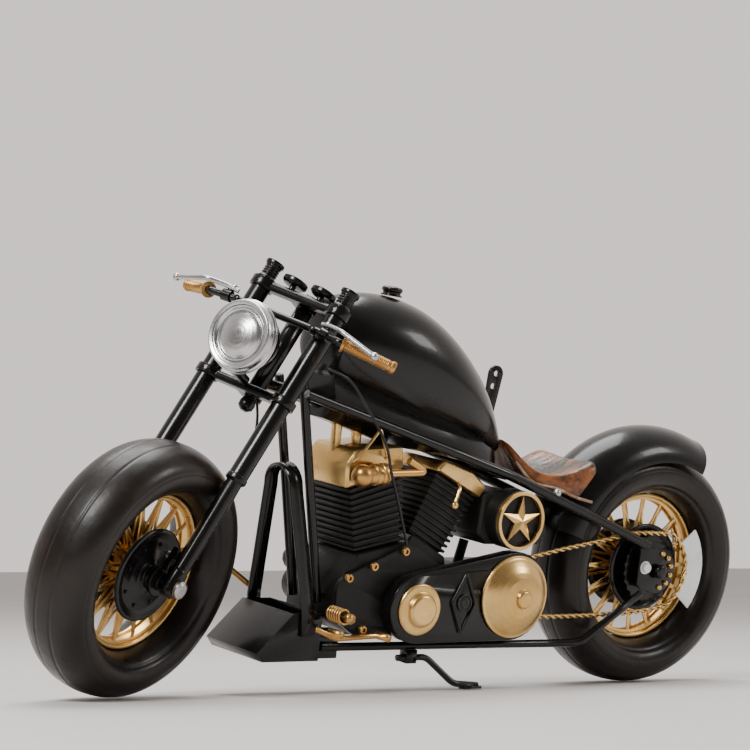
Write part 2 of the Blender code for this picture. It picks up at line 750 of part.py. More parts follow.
# ---- engine ----
def finned_block(name, corners, look, fins=11):
    """A cylinder block: a core with thin fins parallel to its top edge (corners: two top, two bottom)."""
    top_left, top_right, low_right, low_left = [Vector(c) for c in corners]

    def band(start, end, shrink):
        edge = []
        for left_first, share in ((True, end), (False, end), (False, start), (True, start)):
            left = low_left.lerp(top_left, share)
            right = low_right.lerp(top_right, share)
            inward = (right - left).normalized() * shrink
            edge.append(tuple(left + inward if left_first else right - inward))
        return edge

    depth = 1.5
    core = as_mesh(side_plate(name, [band(0.0, 1.0, depth)], -BLOCK_HALF_WIDTH + depth,
                              BLOCK_HALF_WIDTH - depth, machine, look))
    slabs = []
    for i in range(fins):
        start = (i + 0.25) / fins
        slabs.append(as_mesh(side_plate("fin", [band(start, start + 0.45 / fins, 0.0)], -BLOCK_HALF_WIDTH,
                                        BLOCK_HALF_WIDTH, machine, None)))
    return combine(core, slabs)


def crankcase():
    case = [(102.6, 38.0), (102.6, 52.0), (107.5, 60.8), (113.0, 67.6), (141.6, 73.2), (144.6, 77.6),
            (166.0, 66.4), (168.0, 56.0), (170.0, 31.0), (117.0, 29.6)]
    body = as_mesh(side_plate("crankcase", [case], -18.6, 18.6, machine, SATIN_BLACK, 0.8))
    gearbox = [(169.0, 31.6), (167.4, 55.4), (186.0, 60.5), (214.0, 60.5), (216.0, 31.6)]
    behind = as_mesh(side_plate("gearbox", [gearbox], -18.4, 15.0, machine, None, 1.2))
    post = rod("seat_post", (188.6, 0, 58.0), (192.0, 0, 72.5 - 2 * GAP), 2.4, machine, None)
    barrel = rod("starter_barrel", (110.8, -17.0, 47.4), (110.8, 23.0, 47.4), 8.4, machine, None, 20)
    canister = ball("oil_filter", 6.2, machine, None, (105.6, 18.6, 59.6), 14)
    combine(body, [behind, post, barrel, canister])
    cover = [(101.6, 38.0), (101.6, 50.0)] + arc((110.0, 50.4), 8.6, 180, 118, 6)
    cover += [(141.0, 73.0), (147.0, 71.4), (161.6, 62.6), (163.0, 30.6), (116.6, 28.6)]
    plate = as_mesh(side_plate("crankcase_cover", [cover], -18.6 - GAP, -21.4, machine, SATIN_BLACK))
    screws = []
    for x, z in ((106.0, 57.6), (120.0, 63.0), (137.6, 70.0), (117.2, 33.2)):
        screws.append(rod("cover_screw", (x, -21.0, z), (x, -23.2, z), 1.7, machine, None, 12))
    combine(plate, screws)


def cylinders():
    front = [(106.4, 98.4), (136.4, 107.6), (141.6, 73.2 + GAP), (113.2, 67.7 + GAP)]
    rear = [(157.2, 106.6), (182.4, 94.6), (166.6, 66.8 + GAP), (144.2, 78.4 + GAP)]
    finned_block("front_cylinder", front, SATIN_BLACK)
    finned_block("rear_cylinder", rear, SATIN_BLACK)
    front_box = [(103.4, 97.6 + GAP), (136.6, 107.8 + GAP), (134.8, 118.4), (107.6, 116.6), (102.6, 109.4)]
    rear_box = [(156.4, 107.4 + GAP), (184.2, 94.2 + GAP), (188.0, 100.0), (178.5, 107.2), (161.0, 112.2)]
    front_cap = as_mesh(side_plate("front_rocker_box", [front_box], -17.4, 15.6, machine, GOLD, 1.2))
    rear_cap = as_mesh(side_plate("rear_rocker_box", [rear_box], -17.4, 15.6, machine, GOLD, 1.0))
    combine(front_cap, engine_mounts() + [choke_rod()])
    combine(rear_cap, spark_plug())


def intake():
    """Ball-ended intake on the left of the front rocker box, with a hooked pipe behind it."""
    y = -23.4
    core = ball("intake", 5.3, machine, BRONZE, (107.4, y, 105.3), 16)
    collar = rod("collar", (110.5, y, 105.6), (121.0, y, 106.6), 5.0, machine, None, 18)
    pipe = as_mesh(wire("pipe",
                        rounded([(119.0, y, 106.4), (146.0, y, 107.4), (134.0, y + 1.0, 113.0)], 3.0),
                        1.9, machine, None))
    return combine(core, [collar, pipe])


def engine_mounts():
    """Two gold posts from the front rocker box up to the backbone."""
    mounts = []
    for x, top in ((107.6, 130.2), (119.4, 126.8)):
        ceiling = top - 2.8
        profile = [(0, ceiling), (3.2, ceiling), (3.2, ceiling - 1.6), (2.5, ceiling - 1.8), (2.5, 112.0),
                   (0, 112.0)]
        mounts.append(as_mesh(turned("engine_mount", profile, machine, None, (x, 0, 0), steps=12)))
    return mounts


def choke_rod():
    bends = [(106.4, -17.0, 111.0), (107.4, -19.4, 113.0), (117.6, -19.4, 126.0), (118.6, -19.4, 126.0),
             (123.6, -19.4, 114.0), (124.6, -17.0, 112.6)]
    return as_mesh(wire("choke_rod", rounded(bends, 0.4, 2), 0.7, machine, None))


def spark_plug():
    lead = smooth_path([(170.4, -16.4, 102.0), (168.4, -20.6, 99.4), (165.4, -22.0, 92.6)], 5)
    boot = ball("plug_boot", 2.0, machine, None, (165.1, -22.1, 91.8), 12)
    return [as_mesh(wire("spark_plug", lead, 0.9, machine, None)), boot]


STAR_AT = (202.0, 85.6)


def oil_tank():
    """Black tank under the seat, with the star badge's round case on its left side."""
    edge = [(184.5, 77.0), (189.0, 72.5), (224.0, 72.5), (229.0, 78.0), (225.0, 88.0), (217.0, 95.0),
            (201.5, 98.5), (186.0, 97.0)]
    body = as_mesh(side_plate("oil_tank", [edge], -18.4, 18.4, machine, SATIN_BLACK, 1.2))
    case = side_plate("star_case", [ring(STAR_AT, 14.4, 26)], -17.0, -26.6, machine, None, 0.8)
    return combine(body, [as_mesh(case)])


def primary_drive():
    """Black primary cover with its two gold caps, raised emblem and star badge."""
    front, rear = (144.8, 43.6), (202.0, 49.2)
    front_r, rear_r = 16.4, 21.4
    tilt = math.degrees(math.atan2(rear[1] - front[1], rear[0] - front[0]))
    spread = math.degrees(math.asin((rear_r - front_r) / (rear[0] - front[0])))
    edge = arc(rear, rear_r, tilt - 90 - spread, tilt + 90 + spread, 18)
    edge += arc(front, front_r, tilt + 90 + spread, tilt + 270 - spread, 14)
    cover = as_mesh(side_plate("primary_cover", [edge], -21.4 - GAP, COVER_FACE_Y, machine, BLACK, 1.6))
    combine(cover, emblem())
    face = -COVER_FACE_Y + GAP
    derby = [(0, face + 4.6), (6.8, face + 4.6), (7.8, face + 3.8), (8.2, face + 1.6), (11.4, face + 1.2),
             (12.3, face + 0.6), (12.3, face), (0, face)]
    side_turned("derby_cap", derby, machine, GOLD, *front, steps=24)
    dome = [(0, face + 9.4), (3.6, face + 9.4), (4.4, face + 8.6), (4.6, face + 7.2), (9.0, face + 6.6),
            (14.0, face + 4.8), (17.8, face + 2.2), (19.2, face + 1.2), (20.0, face + 0.9),
            (20.0, face), (0, face)]
    side_turned("clutch_dome", dome, machine, GOLD, *rear, steps=26)
    star_badge()


def emblem():
    """Raised lozenge with a plain round motif."""
    x, z = 170.8, 46.6
    lozenge = [(0, 14.6), (7.2, 0), (0, -14.6), (-7.2, 0)]
    plate = outline_curve("primary_emblem", [lozenge], 2.0, machine, None, (x, COVER_FACE_Y, z), (90, 4, 0))
    boss = rod("emblem_boss", (x, COVER_FACE_Y + 1.0, z), (x, COVER_FACE_Y - 1.8, z), 3.4, machine, None,
               24)
    return [as_mesh(plate), boss]


def star_badge():
    x, z = STAR_AT
    star = []
    for i in range(10):
        radius = 13.0 if i % 2 == 0 else 4.4
        a = math.radians(90 + 36 * i)
        star.append((x + radius * math.cos(a), z + radius * math.sin(a)))
    hoop = as_mesh(side_plate("star_badge", [ring((x, z), 14.0, 30), ring((x, z), 12.0, 30)], -26.6 - GAP,
                              -28.4,
                              machine, GOLD))
    return combine(hoop, [as_mesh(side_plate("star", [star], -26.6 - GAP, -28.2, machine, None))])


crankcase()
cylinders()
intake()
oil_tank()
primary_drive()


# ---- rear end: axle plates, chain, brake plate ----
def axle_plate(name, side):
    """Dropout plate: a straight-edged lug for the frame tubes and a round boss over the axle."""
    x, z = WHEELBASE, TYRE_R
    edge = arc((x, z), 11.6, -120, 110, 20) + [(x - 10.6, z + 14.6), (x - 12.6, z + 11.0),
                                               (x - 12.6, z - 6.6),
                                               (x - 9.6, z - 9.6)]
    near, far = side * 18.4, side * 19.6
    plate = side_plate(name, [edge, ring((x, z), AXLE_R + GAP, 20)], near, far, machine, BLACK)
    return plate


def rear_axle():
    profile = [(0, 24.2), (2.6, 23.8), (3.6, 22.4), (3.6, 19.6 + GAP), (AXLE_R, 19.6 + GAP),
               (AXLE_R, -19.6 - GAP), (3.6, -19.6 - GAP), (3.6, -22.4), (2.6, -23.8), (0, -24.2)]
    return side_turned("rear_axle", profile, machine, SILVER, WHEELBASE, TYRE_R, steps=14)


def brake_plate():
    """Pale crescent behind the left axle plate, inside the tyre's opening."""
    x, z = WHEELBASE, TYRE_R
    edge = arc((x, z), 32.0, -38, 40, 12) + arc((x, z), 20.8, 40, -38, 8)
    return side_plate("brake_plate", [edge], -17.3, -18.3, machine, WHITE_METAL)


CHAIN_Y = -18.9
CHAIN_R = 0.95


def drive_chain():
    """Twisted wire standing in for the chain: out of the primary case, round the sprocket and back."""
    x, z = WHEELBASE, TYRE_R
    top = [(216.4, 0, 66.0), (240.0, 0, 70.4), (270.0, 0, 75.6), (286.0, 0, 78.2)]
    wrap = [(px, 0, pz) for px, pz in arc((x, z), 19.4, 70, -70, 9)]
    low = [(290.0, 0, 38.6), (268.0, 0, 37.4), (240.0, 0, 37.0), (218.6, 0, 37.2)]
    path = [(px, CHAIN_Y, pz) for px, _, pz in top + wrap + low]
    return wire("drive_chain", smooth_path(path, 2), CHAIN_R, machine, GOLD)


for side, sign in (("left", -1), ("right", 1)):
    axle_plate("axle_plate_" + side, sign)
rear_axle()
brake_plate()
drive_chain()


# ---- front of the frame: guard hoop, skid pan, pegs, foot lever ----
PAN_HALF_WIDTH = 20.4


def guard_hoop():
    """Flat strap bent to an upside-down U round the down tubes."""
    sheet = 1.3
    foot = PAN_HALF_WIDTH + GAP + sheet
    half = [(foot, -11.0), (foot, 1.0), (10.6, 55.0)] + arc((0, 56.0), 10.6, 0, 90, 7)[1:]
    inner = [(foot - sheet, -11.0), (foot - sheet, 1.0), (10.6 - sheet, 55.0)]
    inner += arc((0, 56.0), 10.6 - sheet, 0, 90, 7)[1:]
    outer_edge = half + [(-y, z) for y, z in reversed(half[:-1])]
    inner_edge = inner + [(-y, z) for y, z in reversed(inner[:-1])]
    hoop = outline_curve("guard_hoop", [outer_edge + list(reversed(inner_edge))], 7.0, machine, BLACK,
                         (86.0, 0, 41.4), (0, 0, 0))
    upright = Matrix.Rotation(math.radians(90), 3, "Z") @ Matrix.Rotation(math.radians(90), 3, "X")
    hoop.rotation_euler = (Matrix.Rotation(math.radians(-5.8), 3, "Y") @ upright).to_euler()
    return hoop


def skid_pan():
    """Open-topped chin pan under the front of the engine, wider ahead of the cradle tubes."""
    sheet = 1.8
    front = [(64.0, 18.4), (60.6, 22.6), (79.0, 40.6), (95.0, 40.6), (95.6, 38.0), (95.6, 18.4)]
    rear = [(92.0, 18.4), (92.0, 40.0), (95.2, 40.0), (99.5, 30.0), (110.0, 27.0), (110.0, 18.4)]
    hollow = [(66.0, 20.4), (64.4, 23.0), (82.0, 44.0), (93.8, 44.0), (93.8, 20.4)]
    tail = [(90.0, 20.4), (90.0, 36.0), (94.0, 36.0), (96.6, 28.6), (107.4, 25.0), (107.4, 20.4)]
    narrow = 15.4
    pan = as_mesh(side_plate("skid_pan", [front], -PAN_HALF_WIDTH, PAN_HALF_WIDTH, machine, BLACK))
    back = as_mesh(side_plate("pan_tail", [rear], -narrow, narrow, machine, None))
    combine(pan, [back])
    wide_room = PAN_HALF_WIDTH - sheet
    rooms = [as_mesh(side_plate("pan_room", [hollow], -wide_room, wide_room, machine, None)),
             as_mesh(side_plate("tail_room", [tail], sheet - narrow, narrow - sheet, machine, None))]
    return combine(pan, rooms, "DIFFERENCE")


def footpegs():
    y = -22.0
    bolt = rod("left_footpeg", (98.4, y, 41.4), (98.4, -37.0, 41.4), 1.5, machine, BRONZE)
    nut = rod("peg_head", (98.4, -36.0, 41.4), (98.4, -38.4, 41.4), 2.6, machine, None, 6)
    combine(bolt, [nut])
    turns, per_turn = 4, 8
    coil = []
    for i in range(turns * per_turn + 1):
        a = 2 * math.pi * i / per_turn
        coil.append((98.4 + 3.2 * math.cos(a), -23.2 - 10.6 * i / (turns * per_turn),
                     41.4 + 3.2 * math.sin(a)))
    wire("peg_spring", coil, 0.75, machine, BRONZE, 1)
    peg = rod("right_footpeg", (84.0, 23.4, 46.0), (80.0, 36.0, 52.0), 1.4, machine, BRONZE)
    combine(peg, [rod("peg_end", (80.4, 34.8, 51.4), (79.7, 37.0, 52.5), 2.4, machine, None)])


def foot_lever():
    """Shift lever: a bent rod with a cross peg at each end."""
    y = -25.4
    arm = as_mesh(wire("foot_lever", rounded([(88.4, y, 34.4), (101.0, y, 29.6), (126.0, y, 30.8)], 2.0),
                       1.3,
                       machine, BRONZE))
    pegs = [rod("peg", (97.6, -24.4, 33.0), (97.6, -33.4, 33.0), 1.8, machine, None),
            rod("peg", (125.2, -24.4, 31.0), (125.2, -33.4, 31.0), 1.8, machine, None),
            rod("web", (97.6, -25.4, 29.6), (97.6, -25.4, 34.0), 1.2, machine, None)]
    return combine(arm, pegs)


def shift_plate():
    """Slim upright plate with two holes beside the seat's nose."""
    edge = arc((0, 44.0), 4.4, -10, 190, 12) + [(-3.0, 24.0), (-1.8, 0.0), (3.2, 0.0), (3.6, 26.0)]
    holes = [ring((0, 44.4), 1.5, 14), ring((-0.4, 38.0), 1.5, 14)]
    return outline_curve("shift_plate", [edge] + holes, 1.4, machine, BLACK, (209.0, 18.0, 107.0),
                         (90, 8, 0))


guard_hoop()
skid_pan()
footpegs()
foot_lever()
shift_plate()


def clutch_cable():
    """Outer cable from the left bar end of the fork down to the crankcase cover."""
    points = [(75.6, -29.0, 155.0), (88.0, -31.0, 150.0), (98.4, -31.0, 139.6), (112.6, -31.0, 121.8),
              (118.4, -30.6, 108.0),
              (127.6, -27.6, 91.6), (137.6, -24.0, 73.0)]
    return wire("clutch_cable", smooth_path(points, 4), 0.7, machine, BLACK)


clutch_cable()


# ---- side stand ----
def floor_height(y, radius):
    """Drawing height of the centre of a round bar that lies on the floor at this Y, with the machine leant."""
    lean = math.radians(LEAN)
    return (radius - FLOOR_DROP - y * math.sin(lean)) / math.cos(lean)


def side_stand():
    """Bent rod: its front run is the pivot, its foot a small flat pad level with the floor."""
    axis = empty("stand_axis", machine, STAND_PIVOT)
    foot_z = floor_height(STAND_Y, STAND_R)
    run = [(143.0, -19.0, 18.6), (160.5, -19.0, 18.6), (173.0, STAND_Y, foot_z + 1.2),
           (188.0, STAND_Y, foot_z)]
    local = [Vector(p) - Vector(STAND_PIVOT) for p in run]
    leg = as_mesh(wire("side_stand", rounded(local, 3.0), STAND_R, axis, BLACK, 2))
    pad_z = floor_height(STAND_Y, 0.7) - STAND_PIVOT[2]
    pad = box("pad",
              (10.0, 5.0, 1.4), axis, None, (184.0 - STAND_PIVOT[0], STAND_Y - STAND_PIVOT[1], pad_z),
              (-LEAN, 0, 0))
    return combine(leg, [pad])


side_stand()


def settle():
    """Put the machine's lowest point on the floor and the middle of its outline over the origin."""
    bpy.context.view_layer.update()
    graph = bpy.context.evaluated_depsgraph_get()
    low = Vector((1e9, 1e9, 1e9))
    high = -low
    for obj in parts.objects:
        shape = obj.evaluated_get(graph)
        mesh = shape.to_mesh()
        for vertex in mesh.vertices:
            point = shape.matrix_world @ vertex.co
            low = Vector(map(min, low, point))
            high = Vector(map(max, high, point))
        shape.to_mesh_clear()
    machine.location -= Vector(((low.x + high.x) / 2, (low.y + high.y) / 2, low.z))


settle()
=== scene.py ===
"""Looks of the tin chopper motorcycle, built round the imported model.

Sizes are in drawing units, as in the part's source: UNIT metres each. The machine's frame has X rearward
from the front axle, Y to the rider's right and Z up; the steering frame has its Z up the steering axis.
"""
import json
import math

import bmesh
import bpy
from mathutils import Matrix, Vector, noise


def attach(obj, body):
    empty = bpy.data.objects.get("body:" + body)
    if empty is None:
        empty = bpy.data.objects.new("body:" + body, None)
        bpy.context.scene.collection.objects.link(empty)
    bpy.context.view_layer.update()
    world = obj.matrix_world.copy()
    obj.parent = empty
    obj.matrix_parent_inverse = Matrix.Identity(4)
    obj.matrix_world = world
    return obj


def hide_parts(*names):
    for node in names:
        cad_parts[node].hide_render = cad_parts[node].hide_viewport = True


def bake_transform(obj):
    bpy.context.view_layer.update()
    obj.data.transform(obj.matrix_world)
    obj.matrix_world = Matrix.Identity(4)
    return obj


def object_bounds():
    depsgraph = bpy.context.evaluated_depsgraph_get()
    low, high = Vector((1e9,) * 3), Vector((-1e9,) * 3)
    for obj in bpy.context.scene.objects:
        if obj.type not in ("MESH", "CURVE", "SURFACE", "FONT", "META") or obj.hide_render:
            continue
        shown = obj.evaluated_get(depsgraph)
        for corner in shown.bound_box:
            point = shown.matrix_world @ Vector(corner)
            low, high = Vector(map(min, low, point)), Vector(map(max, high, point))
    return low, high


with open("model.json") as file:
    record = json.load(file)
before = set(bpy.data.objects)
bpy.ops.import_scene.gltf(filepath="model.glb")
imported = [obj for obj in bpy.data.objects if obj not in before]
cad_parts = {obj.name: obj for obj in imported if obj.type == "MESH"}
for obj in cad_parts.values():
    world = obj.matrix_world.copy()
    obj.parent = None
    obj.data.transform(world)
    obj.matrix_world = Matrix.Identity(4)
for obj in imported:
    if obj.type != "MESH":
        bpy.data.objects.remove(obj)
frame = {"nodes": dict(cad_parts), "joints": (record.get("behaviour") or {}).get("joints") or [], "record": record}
cad_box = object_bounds()
nodes = frame["nodes"]
joints = {joint["name"]: joint for joint in frame["joints"]}

UNIT = 0.00095
WHEELBASE = 303.0
TYRE_R = 59.5
TYRE_HALF_WIDTH = 17.5
TYRE_HALF_HEIGHT = 11.4
TRAIL_OFFSET = 8.0
FORK_Y = 22.0
FORK_TOP = 157.5
GAP = 0.34
COVER_FACE = 29.0
CREST_AT = (170.8, 46.6)
LAMP_AT = (-33.6, 0, 111.3)
LAMP_TILT = 16.4
STAR_AT = (202.0, 85.6)
STAR_R = 12.2
STAR_INNER_R = 3.9


def vec(x, y, z):
    return Vector((x, y, z)) * UNIT


# ---- frames, taken from the joints ----
def frame_matrix(x_axis, y_axis, z_axis, origin):
    rows = Matrix((x_axis, y_axis, z_axis)).transposed().to_4x4()
    rows.translation = origin
    return rows


def machine_frame():
    y_axis = Vector(joints["rear_wheel_spin"]["axis"]).normalized()
    x_axis = Vector((1, 0, 0))
    turn = frame_matrix(x_axis, y_axis, x_axis.cross(y_axis), (0, 0, 0))
    turn.translation = Vector(joints["rear_wheel_spin"]["pos_m"]) - turn @ vec(WHEELBASE, 0, TYRE_R)
    return turn


def steering_frame(origin):
    z_axis = Vector(joints["steering_turn"]["axis"]).normalized()
    y_axis = Vector(joints["front_wheel_spin"]["axis"]).normalized()
    return frame_matrix(y_axis.cross(z_axis), y_axis, z_axis, origin)


MACHINE = machine_frame()
STEERING = steering_frame(joints["steering_turn"]["pos_m"])
FRONT_WHEEL = steering_frame(joints["front_wheel_spin"]["pos_m"])
REAR_WHEEL = MACHINE @ Matrix.Translation(vec(WHEELBASE, 0, TYRE_R))
LAMP_TURN = Matrix.Rotation(math.radians(-90 - LAMP_TILT), 4, "Y")
LAMP = STEERING @ Matrix.Translation(vec(*LAMP_AT)) @ LAMP_TURN


# ---- materials ----
class Look:
    """A node material under construction: shader is its Principled BSDF."""

    def __init__(self, name):
        self.material = bpy.data.materials.new(name)
        self.material.use_nodes = True
        self.tree = self.material.node_tree
        self.shader = self.tree.nodes["Principled BSDF"]
        self.place = self.add("ShaderNodeTexCoord").outputs["Object"]

    def add(self, kind, **values):
        node = self.tree.nodes.new(kind)
        for key, value in values.items():
            setattr(node, key, value)
        return node

    def link(self, source, target):
        self.tree.links.new(source, target)

    def set(self, **values):
        for key, value in values.items():
            self.shader.inputs[key.replace("_", " ")].default_value = value
        return self

    def stretched(self, scale):
        mapping = self.add("ShaderNodeMapping")
        mapping.inputs["Scale"].default_value = scale
        self.link(self.place, mapping.inputs["Vector"])
        return mapping.outputs["Vector"]

    def noise(self, scale, detail=4.0, roughness=0.55, stretch=(1, 1, 1)):
        node = self.add("ShaderNodeTexNoise")
        node.inputs["Scale"].default_value = scale
        node.inputs["Detail"].default_value = detail
        node.inputs["Roughness"].default_value = roughness
        self.link(self.stretched(stretch), node.inputs["Vector"])
        return node.outputs["Fac"]

    def ramp(self, factor, *stops):
        """A colour ramp of (position, colour) stops; a number stands for a grey."""
        node = self.add("ShaderNodeValToRGB")
        bar = node.color_ramp
        while len(bar.elements) < len(stops):
            bar.elements.new(0.5)
        for element, (position, colour) in zip(bar.elements, stops):
            element.position = position
            grey = isinstance(colour, (int, float))
            element.color = (colour, colour, colour, 1) if grey else (*colour, 1)
        self.link(factor, node.inputs["Fac"])
        return node.outputs["Color"]

    def mix(self, factor, first, second, blend="MIX"):
        node = self.add("ShaderNodeMix", data_type="RGBA", blend_type=blend)
        for value, socket in ((factor, 0), (first, 6), (second, 7)):
            if isinstance(value, (int, float)):
                node.inputs[socket].default_value = value
            elif isinstance(value, tuple):
                node.inputs[socket].default_value = (*value, 1)
            else:
                self.link(value, node.inputs[socket])
        return node.outputs[2]

    def occlusion(self, distance):
        node = self.add("ShaderNodeAmbientOcclusion")
        node.inputs["Distance"].default_value = distance
        return node.outputs["AO"]

    def bump(self, height, strength, distance):
        node = self.add("ShaderNodeBump")
        node.inputs["Strength"].default_value = strength
        node.inputs["Distance"].default_value = distance
        self.link(height, node.inputs["Height"])
        before = self.shader.inputs["Normal"]
        if before.is_linked:
            self.link(before.links[0].from_socket, node.inputs["Normal"])
        self.link(node.outputs["Normal"], before)
        return self

    def colour(self, source):
        self.link(source, self.shader.inputs["Base Color"])
        return self

    def rough(self, source):
        self.link(source, self.shader.inputs["Roughness"])
        return self


def black_paint(name, base, rough_low, rough_high, coat, grain, grain_depth):
    """Sprayed black over tin: cloudy sheen, fine orange peel and small brown specks."""
    look = Look(name).set(Metallic=0.0, Coat_Weight=coat, Coat_Roughness=0.09, Specular_IOR_Level=0.3)
    clouds = look.noise(38, 5, 0.6)
    tint = look.ramp(clouds, (0.3, tuple(c * 0.6 for c in base)), (0.7, tuple(c * 1.5 for c in base)))
    specks = look.ramp(look.noise(900, 2, 0.5), (0.72, 0.0), (0.80, 0.3))
    dusty = look.mix(specks, tint, (0.035, 0.030, 0.026))
    look.colour(dusty)
    look.rough(look.ramp(look.noise(60, 6, 0.65), (0.3, rough_low), (0.7, rough_high)))
    look.bump(look.noise(grain, 3, 0.5), 0.25, grain_depth)
    look.bump(look.noise(55, 2, 0.5), 0.20, 0.0006)
    return look.material


def metal_paint(name, dark, light, rough_low, rough_high, metallic=0.92):
    """Brushed-on metal paint: soft patches of tone, painted shade that darkens the recesses and a fine grain."""
    look = Look(name).set(Metallic=metallic, Specular_IOR_Level=0.5)
    tone = look.ramp(look.noise(60, 3, 0.5), (0.30, dark), (0.62, light))
    # painted shade: ambient occlusion darkens the colour in recesses and between parts, multiplied into the tone
    painted_recess_shade = look.ramp(look.occlusion(0.004), (0.15, 0.30), (0.70, 1.0))
    look.colour(look.mix(1.0, tone, painted_recess_shade, "MULTIPLY"))
    look.rough(look.ramp(look.noise(90, 3, 0.5), (0.3, rough_low), (0.7, rough_high)))
    look.bump(look.noise(2200, 2, 0.5), 0.18, 0.00008)
    look.bump(look.noise(70, 2, 0.5), 0.06, 0.0004)
    return look.material


def tyre_look():
    """Brown-black moulded rubber with soft lumps, rubbed sheen and fine pits."""
    look = Look("tyre_rubber").set(Metallic=0.0, Specular_IOR_Level=0.32, Coat_Weight=0.12,
                                  Coat_Roughness=0.2)
    stops = [(0.3, (0.004, 0.0034, 0.0032)), (0.55, (0.009, 0.0062, 0.005)), (0.8, (0.024, 0.012, 0.008))]
    tone = look.ramp(look.noise(26, 6, 0.65), *stops)
    look.colour(tone)
    look.rough(look.ramp(look.noise(45, 7, 0.7), (0.3, 0.22), (0.7, 0.50)))
    look.bump(look.noise(34, 4, 0.6), 0.55, 0.0011)
    look.bump(look.noise(700, 3, 0.6), 0.22, 0.00018)
    return look.material


def leather_look():
    """Orange-brown leather streaked with dark patches, darkest in the middle, with creases and pores."""
    look = Look("seat_leather")
    look.set(Metallic=0.0, Specular_IOR_Level=0.4, Coat_Weight=0.2, Coat_Roughness=0.2)
    worn = look.add("ShaderNodeAttribute", attribute_name="worn").outputs["Fac"]
    patches = look.noise(95, 8, 0.78, (0.6, 1.5, 0.9))
    both = look.add("ShaderNodeMath", operation="ADD")
    look.link(worn, both.inputs[0])
    shifted = look.add("ShaderNodeMath", operation="MULTIPLY_ADD")
    look.link(patches, shifted.inputs[0])
    shifted.inputs[1].default_value = 3.6
    shifted.inputs[2].default_value = -1.78
    look.link(shifted.outputs[0], both.inputs[1])
    tone = look.ramp(both.outputs[0], (0.05, (0.30, 0.105, 0.030)), (0.38, (0.16, 0.048, 0.014)),
                     (0.62, (0.040, 0.024, 0.010)), (0.95, (0.013, 0.013, 0.008)))
    look.colour(tone)
    look.rough(look.ramp(look.noise(90, 5, 0.6), (0.3, 0.20), (0.7, 0.42)))
    pores = look.add("ShaderNodeTexVoronoi", feature="DISTANCE_TO_EDGE")
    pores.inputs["Scale"].default_value = 900
    look.link(look.place, pores.inputs["Vector"])
    look.bump(pores.outputs["Distance"], 0.25, 0.00015)
    look.bump(look.noise(110, 4, 0.6, (0.5, 2.2, 1.0)), 0.6, 0.0011)
    return look.material


def spun_metal_look():
    """Silver metal spun on a lathe: fine rings about the piece's own Z axis."""
    look = Look("spun_silver").set(Metallic=1.0, Anisotropic=0.35)
    parts = look.add("ShaderNodeSeparateXYZ")
    look.link(look.place, parts.inputs[0])
    flat = look.add("ShaderNodeCombineXYZ")
    look.link(parts.outputs[0], flat.inputs[0])
    look.link(parts.outputs[1], flat.inputs[1])
    radius = look.add("ShaderNodeVectorMath", operation="LENGTH")
    look.link(flat.outputs[0], radius.inputs[0])
    rings = look.add("ShaderNodeTexNoise", noise_dimensions="1D")
    rings.inputs["Scale"].default_value = 4200
    rings.inputs["Detail"].default_value = 3
    look.link(radius.outputs["Value"], rings.inputs["W"])
    look.colour(look.ramp(look.noise(90, 5, 0.6), (0.3, (0.52, 0.52, 0.53)), (0.7, (0.76, 0.76, 0.77))))
    look.rough(look.ramp(rings.outputs["Fac"], (0.3, 0.17), (0.7, 0.32)))
    look.bump(rings.outputs["Fac"], 0.25, 0.00012)
    return look.material


LOOKS = {
    "black_enamel": black_paint("black_enamel", (0.0042, 0.0040, 0.0040), 0.17, 0.32, 0.22, 2200, 0.00006),
    "satin_black": black_paint("satin_black", (0.0070, 0.0066, 0.0062), 0.34, 0.52, 0.0, 1500, 0.00022),
    "tyre_rubber": tyre_look(),
    "gold_finish": metal_paint("gold_finish", (0.70, 0.42, 0.135), (0.86, 0.58, 0.23), 0.24, 0.33),
    "bronze_finish": metal_paint("bronze_finish", (0.48, 0.24, 0.075), (0.66, 0.38, 0.13), 0.26, 0.38),
    "silver_metal": metal_paint("silver_metal", (0.38, 0.38, 0.39), (0.72, 0.72, 0.73), 0.20, 0.36, 1.0),
    "pale_metal": metal_paint("pale_metal", (0.78, 0.80, 0.80), (0.93, 0.95, 0.95), 0.26, 0.40, 0.3),
    "seat_leather": leather_look(),
}
SPUN = spun_metal_look()


# ---- mesh tools, in drawing units ----
def finish_mesh(bm, name, merge=0.002, sharp=34):
    bmesh.ops.remove_doubles(bm, verts=bm.verts, dist=merge)
    bmesh.ops.recalc_face_normals(bm, faces=bm.faces)
    bmesh.ops.scale(bm, vec=(UNIT, UNIT, UNIT), verts=bm.verts)
    mesh = bpy.data.meshes.new(name)
    bm.to_mesh(mesh)
    bm.free()
    mesh.shade_smooth()
    if sharp:
        mesh.set_sharp_from_angle(angle=math.radians(sharp))
    return mesh


def piece(name, mesh, at, body, slot, replaces=(), look=None):
    """Put a mesh at a frame as a piece that rides on a body."""
    obj = bpy.data.objects.new(name, mesh)
    bpy.context.scene.collection.objects.link(obj)
    if look is SPUN:
        obj.matrix_world = at
    else:
        mesh.transform(at)
    mesh.materials.append(look or LOOKS[slot])
    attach(obj, body)
    if replaces:
        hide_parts(*replaces)
    return obj


def revolve(bm, profile, steps=64, axis="Z", centre=(0, 0, 0), closed=False):
    """Turn (radius, height) points: heights run along Z, or along -Y for axis "Y"."""
    loops = []
    for radius, height in profile:
        loop = []
        for i in range(steps if radius > 0 else 1):
            a = 2 * math.pi * i / steps
            x, y = radius * math.cos(a), radius * math.sin(a)
            point = Vector((x, y, height)) if axis == "Z" else Vector((x, -height, y))
            loop.append(bm.verts.new(point + Vector(centre)))
        loops.append(loop)
    pairs = list(zip(loops, loops[1:]))
    if closed:
        pairs.append((loops[-1], loops[0]))
    for one, two in pairs:
        for i in range(steps):
            ring = [one[i % len(one)], one[(i + 1) % len(one)], two[(i + 1) % len(two)], two[i % len(two)]]
            corners = list(dict.fromkeys(ring))
            if len(corners) > 2:
                bm.faces.new(corners)


